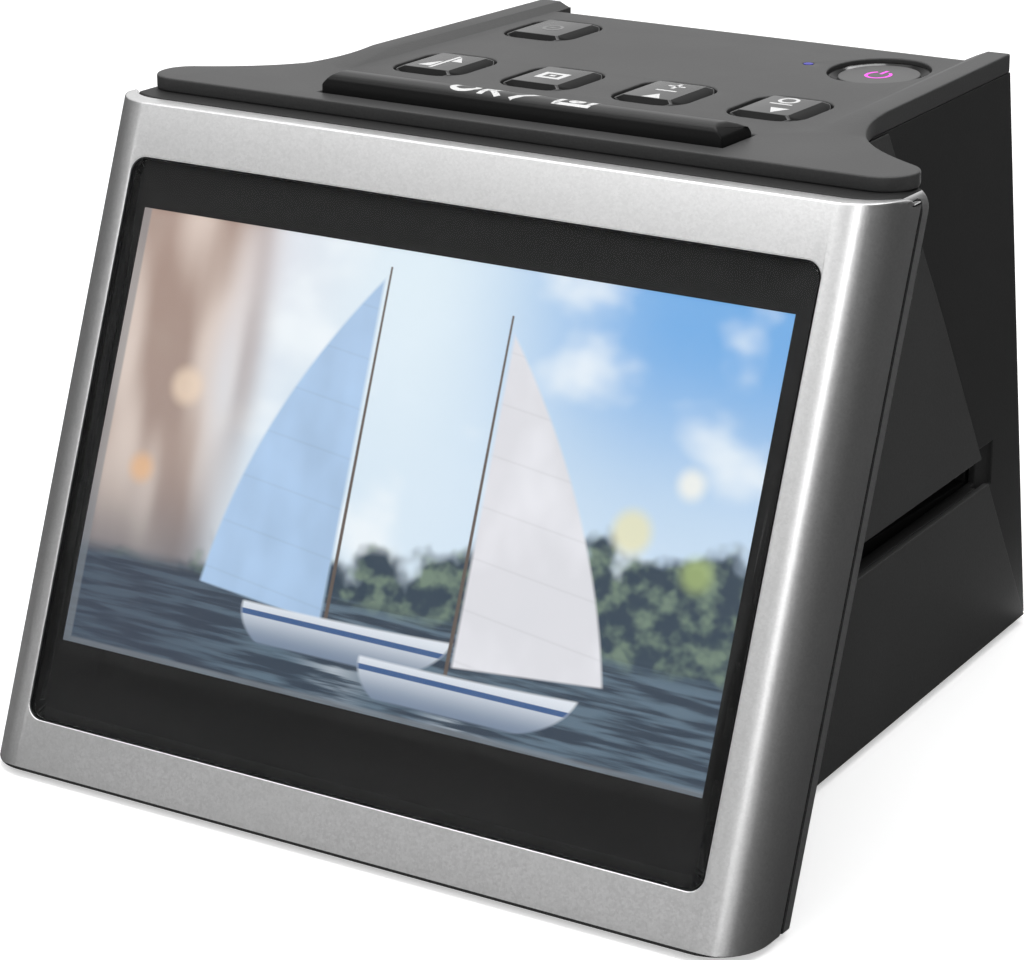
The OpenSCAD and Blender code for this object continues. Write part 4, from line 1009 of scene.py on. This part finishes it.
def printBar(bar, look):
    faces = []
    for points in bar["lines"]:
        for a, b, c, d in stroke(sliced(points, bar["slice"]), bar["line"]):
            for i in range(bar["bands"]):
                u, v = i / bar["bands"], (i + 1) / bar["bands"]
                faces.append([a.lerp(d, u), b.lerp(c, u), b.lerp(c, v), a.lerp(d, v)])
    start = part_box("capture_bar")[0].y / mm + bar["start"]
    layInk("capture_bar_mark", faces, (0.0, start), topProfile("capture_bar"), "capture_bar_body",
           "white_ink", look)


printKeys(keyLook, inkLook)
printBar(barLook, inkLook)
printKeys(buttonLook, inkLook)
print("marks printed")


# ---- floor, backdrop light and lamps

stageLook = dict(
    floorSize=6.0,
    floorSquares=8,
    floorColour=grey(236),
    floorGloss=0.9,
    fibre=(900.0, 3.0, 0.6),
    fibreStep=(0.3, 0.7),
    fibreTint=0.98,
    floorLift=0.45,  # light that only the view and reflections get, so the floor reads near white
    liftReach=(0.35, 1.1),  # how far in front of the scanner that light fades out
    worldLevel=0.35,
    frontLevel=0.115,  # what polished parts mirror low down in front of the scanner
    frontRise=(0.1, 0.5),  # height, as a share, over which the front brightens towards the ceiling
    backRise=(-0.25, 0.15),  # and the same from the front to the back
    lamps=(
        # only: the one piece that a lamp lights
        dict(name="overheadBox", at=(0.0, 0.15, 1.1), aim=(0, 0, 0.06), size=(1.2, 0.9), watts=11.0),
        dict(name="frontBox", at=(-0.45, -0.85, 0.93), aim=(0, -0.05, 0.06), size=(1.0, 0.6), watts=3.8),
        dict(name="edgeStrip", at=(0.54, -0.88, 0.6), aim=(0.06, -0.05, 0.06), size=(0.09, 0.66),
             watts=1.8),
        dict(name="sideGlow", at=(0.8, -0.64, 0.3), aim=(0.06, -0.05, 0.06), size=(0.3, 0.4), watts=0.6),
        dict(name="ringGlint", at=(0.12, 0.6, 0.92), aim=(0.029, 0.043, 0.096), size=(0.45, 0.5),
             watts=22.0, only="rounded_power_ring"),
    ),
    cards=(
        # name, corner, the two sides that leave it, and level of grey; only polish shows the cards,
        # which keep the bezel's rounded edges and the case's sides dark as painted dark reflections;
        # the dark mats stand in for the shade on the floor beside and under the scanner
        ("rightCard", (0.13, -0.13, 0.0), (0, 0.83, 0), (0, 0, 0.35), grey(64)),
        ("rightMat", (0.047, -0.055, 0.0004), (0.083, 0, 0), (0, 0.755, 0), grey(15)),
        ("cornerMat", (0.066, -0.13, 0.0004), (0.064, 0, 0), (0, 0.075, 0), grey(15)),
        ("footMat", (-0.07, -0.077, 0.0003), (0.14, 0, 0), (0, 0.147, 0), grey(30)),
        ("leftCard", (-0.2, -0.12, 0.0), (0, 0.27, 0), (0, 0, 0.12), grey(100)),
        ("leftMat", (-0.2, -0.12, 0.0004), (0.134, 0, 0), (0, 0.27, 0), grey(100)),
    ),
    cardGloss=0.9,
    felt=300.0,
    feltStep=(0.3, 0.7),
    feltTint=0.9,
)
cameraLook = dict(lens=121.45, sensor=36.0, place=(0.25599, -0.42809, 0.20414), tilt=71.41, turn=32.32)


def seenDirectly(wires):
    # 1 for the view and for what gloss and glass show, 0 for the light that falls on matt surfaces
    path = wires.add("ShaderNodeLightPath")
    shown = wires.math("MAXIMUM", path.outputs["Is Glossy Ray"], path.outputs["Is Transmission Ray"])
    return wires.math("MAXIMUM", path.outputs["Is Camera Ray"], shown)


def buildFloor(look):
    shape = bmesh.new()
    squares = look["floorSquares"]
    bmesh.ops.create_grid(shape, x_segments=squares, y_segments=squares, size=look["floorSize"] / 2)
    floor = addObject("floor", meshFrom("floor", shape))
    material, wires, shader = newMaterial(
        "floorPaper", **{"Roughness": look["floorGloss"], "Emission Strength": 1.0})
    place = wires.place()
    fibre = wires.ramp(wires.noise(place, *look["fibre"]), *look["fibreStep"])
    paper = wires.mix(fibre, look["floorColour"], tinted(look["floorColour"], look["fibreTint"]))
    wires.join(paper, shader.inputs["Base Color"])
    axes = wires.add("ShaderNodeSeparateXYZ")
    wires.join(place, axes.inputs[0])
    near, far = look["liftReach"]
    fade = wires.ramp(axes.outputs["Y"], -far, -near, smooth=True)
    lift = wires.math("MULTIPLY", wires.math("MULTIPLY", seenDirectly(wires), look["floorLift"]), fade)
    glow = wires.add("ShaderNodeCombineColor")
    for i in range(3):
        wires.join(lift, glow.inputs[i])
    wires.join(glow.outputs[0], shader.inputs["Emission Color"])
    floor.data.materials.append(material)


def buildWorld(look):
    # A white studio: everything the view sees is white, and so is what gloss shows of the back and
    # the ceiling
    world = bpy.data.worlds.new("studio")
    world.use_nodes = True
    wires = Wires(world.node_tree)
    back = world.node_tree.nodes["Background"]
    back.inputs["Color"].default_value = (1, 1, 1, 1)
    axes = wires.add("ShaderNodeSeparateXYZ")
    wires.join(wires.add("ShaderNodeTexCoord").outputs["Generated"], axes.inputs[0])
    behind = wires.ramp(axes.outputs["Y"], *look["backRise"], smooth=True)
    above = wires.ramp(axes.outputs["Z"], *look["frontRise"], smooth=True)
    mirrored = wires.ramp(wires.math("MAXIMUM", behind, above), 0.0, 1.0, look["frontLevel"], 1.0)
    white = wires.math("MAXIMUM", mirrored, wires.add("ShaderNodeLightPath").outputs["Is Camera Ray"])
    lift = wires.math("MULTIPLY", wires.math("SUBTRACT", white, look["worldLevel"]), seenDirectly(wires))
    wires.join(wires.math("ADD", lift, look["worldLevel"]), back.inputs["Strength"])
    bpy.context.scene.world = world


def buildLamps(look):
    for lamp in look["lamps"]:
        light = bpy.data.lights.new(lamp["name"], "AREA")
        light.shape = "RECTANGLE"
        light.size, light.size_y = lamp["size"]
        light.energy = lamp["watts"]
        thing = addObject(lamp["name"], light)
        thing.location = lamp["at"]
        way = Vector(lamp["aim"]) - Vector(lamp["at"])
        thing.rotation_euler = way.to_track_quat("-Z", "Y").to_euler()
        if "only" in lamp:
            ringOnly = bpy.data.collections.new("lit_by_ring_glint")
            ringOnly.objects.link(bpy.data.objects[lamp["only"]])
            thing.light_linking.receiver_collection = ringOnly


def buildCards(look):
    for name, corner, across, along, colour in look["cards"]:
        mesh = bpy.data.meshes.new(name)
        first, second = Vector(corner) + Vector(across), Vector(corner) + Vector(along)
        mesh.from_pydata([corner, first, first + Vector(along), second], [], [(0, 1, 2, 3)])
        material, wires, shader = newMaterial(name, Roughness=look["cardGloss"])
        felt = wires.ramp(wires.noise(wires.place(), look["felt"]), *look["feltStep"])
        wires.join(wires.mix(felt, colour, tinted(colour, look["feltTint"])), shader.inputs["Base Color"])
        mesh.materials.append(material)
        card = addObject(name, mesh)
        card.visible_camera = card.visible_diffuse = False
        card.visible_transmission = card.visible_shadow = False


def buildCamera(look):
    # Matched to the view: no shift and no roll
    data = bpy.data.cameras.new("camera")
    data.lens, data.sensor_width = look["lens"], look["sensor"]
    camera = addObject("camera", data)
    camera.location = look["place"]
    camera.rotation_euler = (math.radians(look["tilt"]), 0, math.radians(look["turn"]))
    bpy.context.scene.camera = camera


buildFloor(stageLook)
buildWorld(stageLook)
buildLamps(stageLook)
buildCards(stageLook)
buildCamera(cameraLook)
bpy.context.scene.view_settings.view_transform = "Standard"
print("stage, lamps and camera ready")
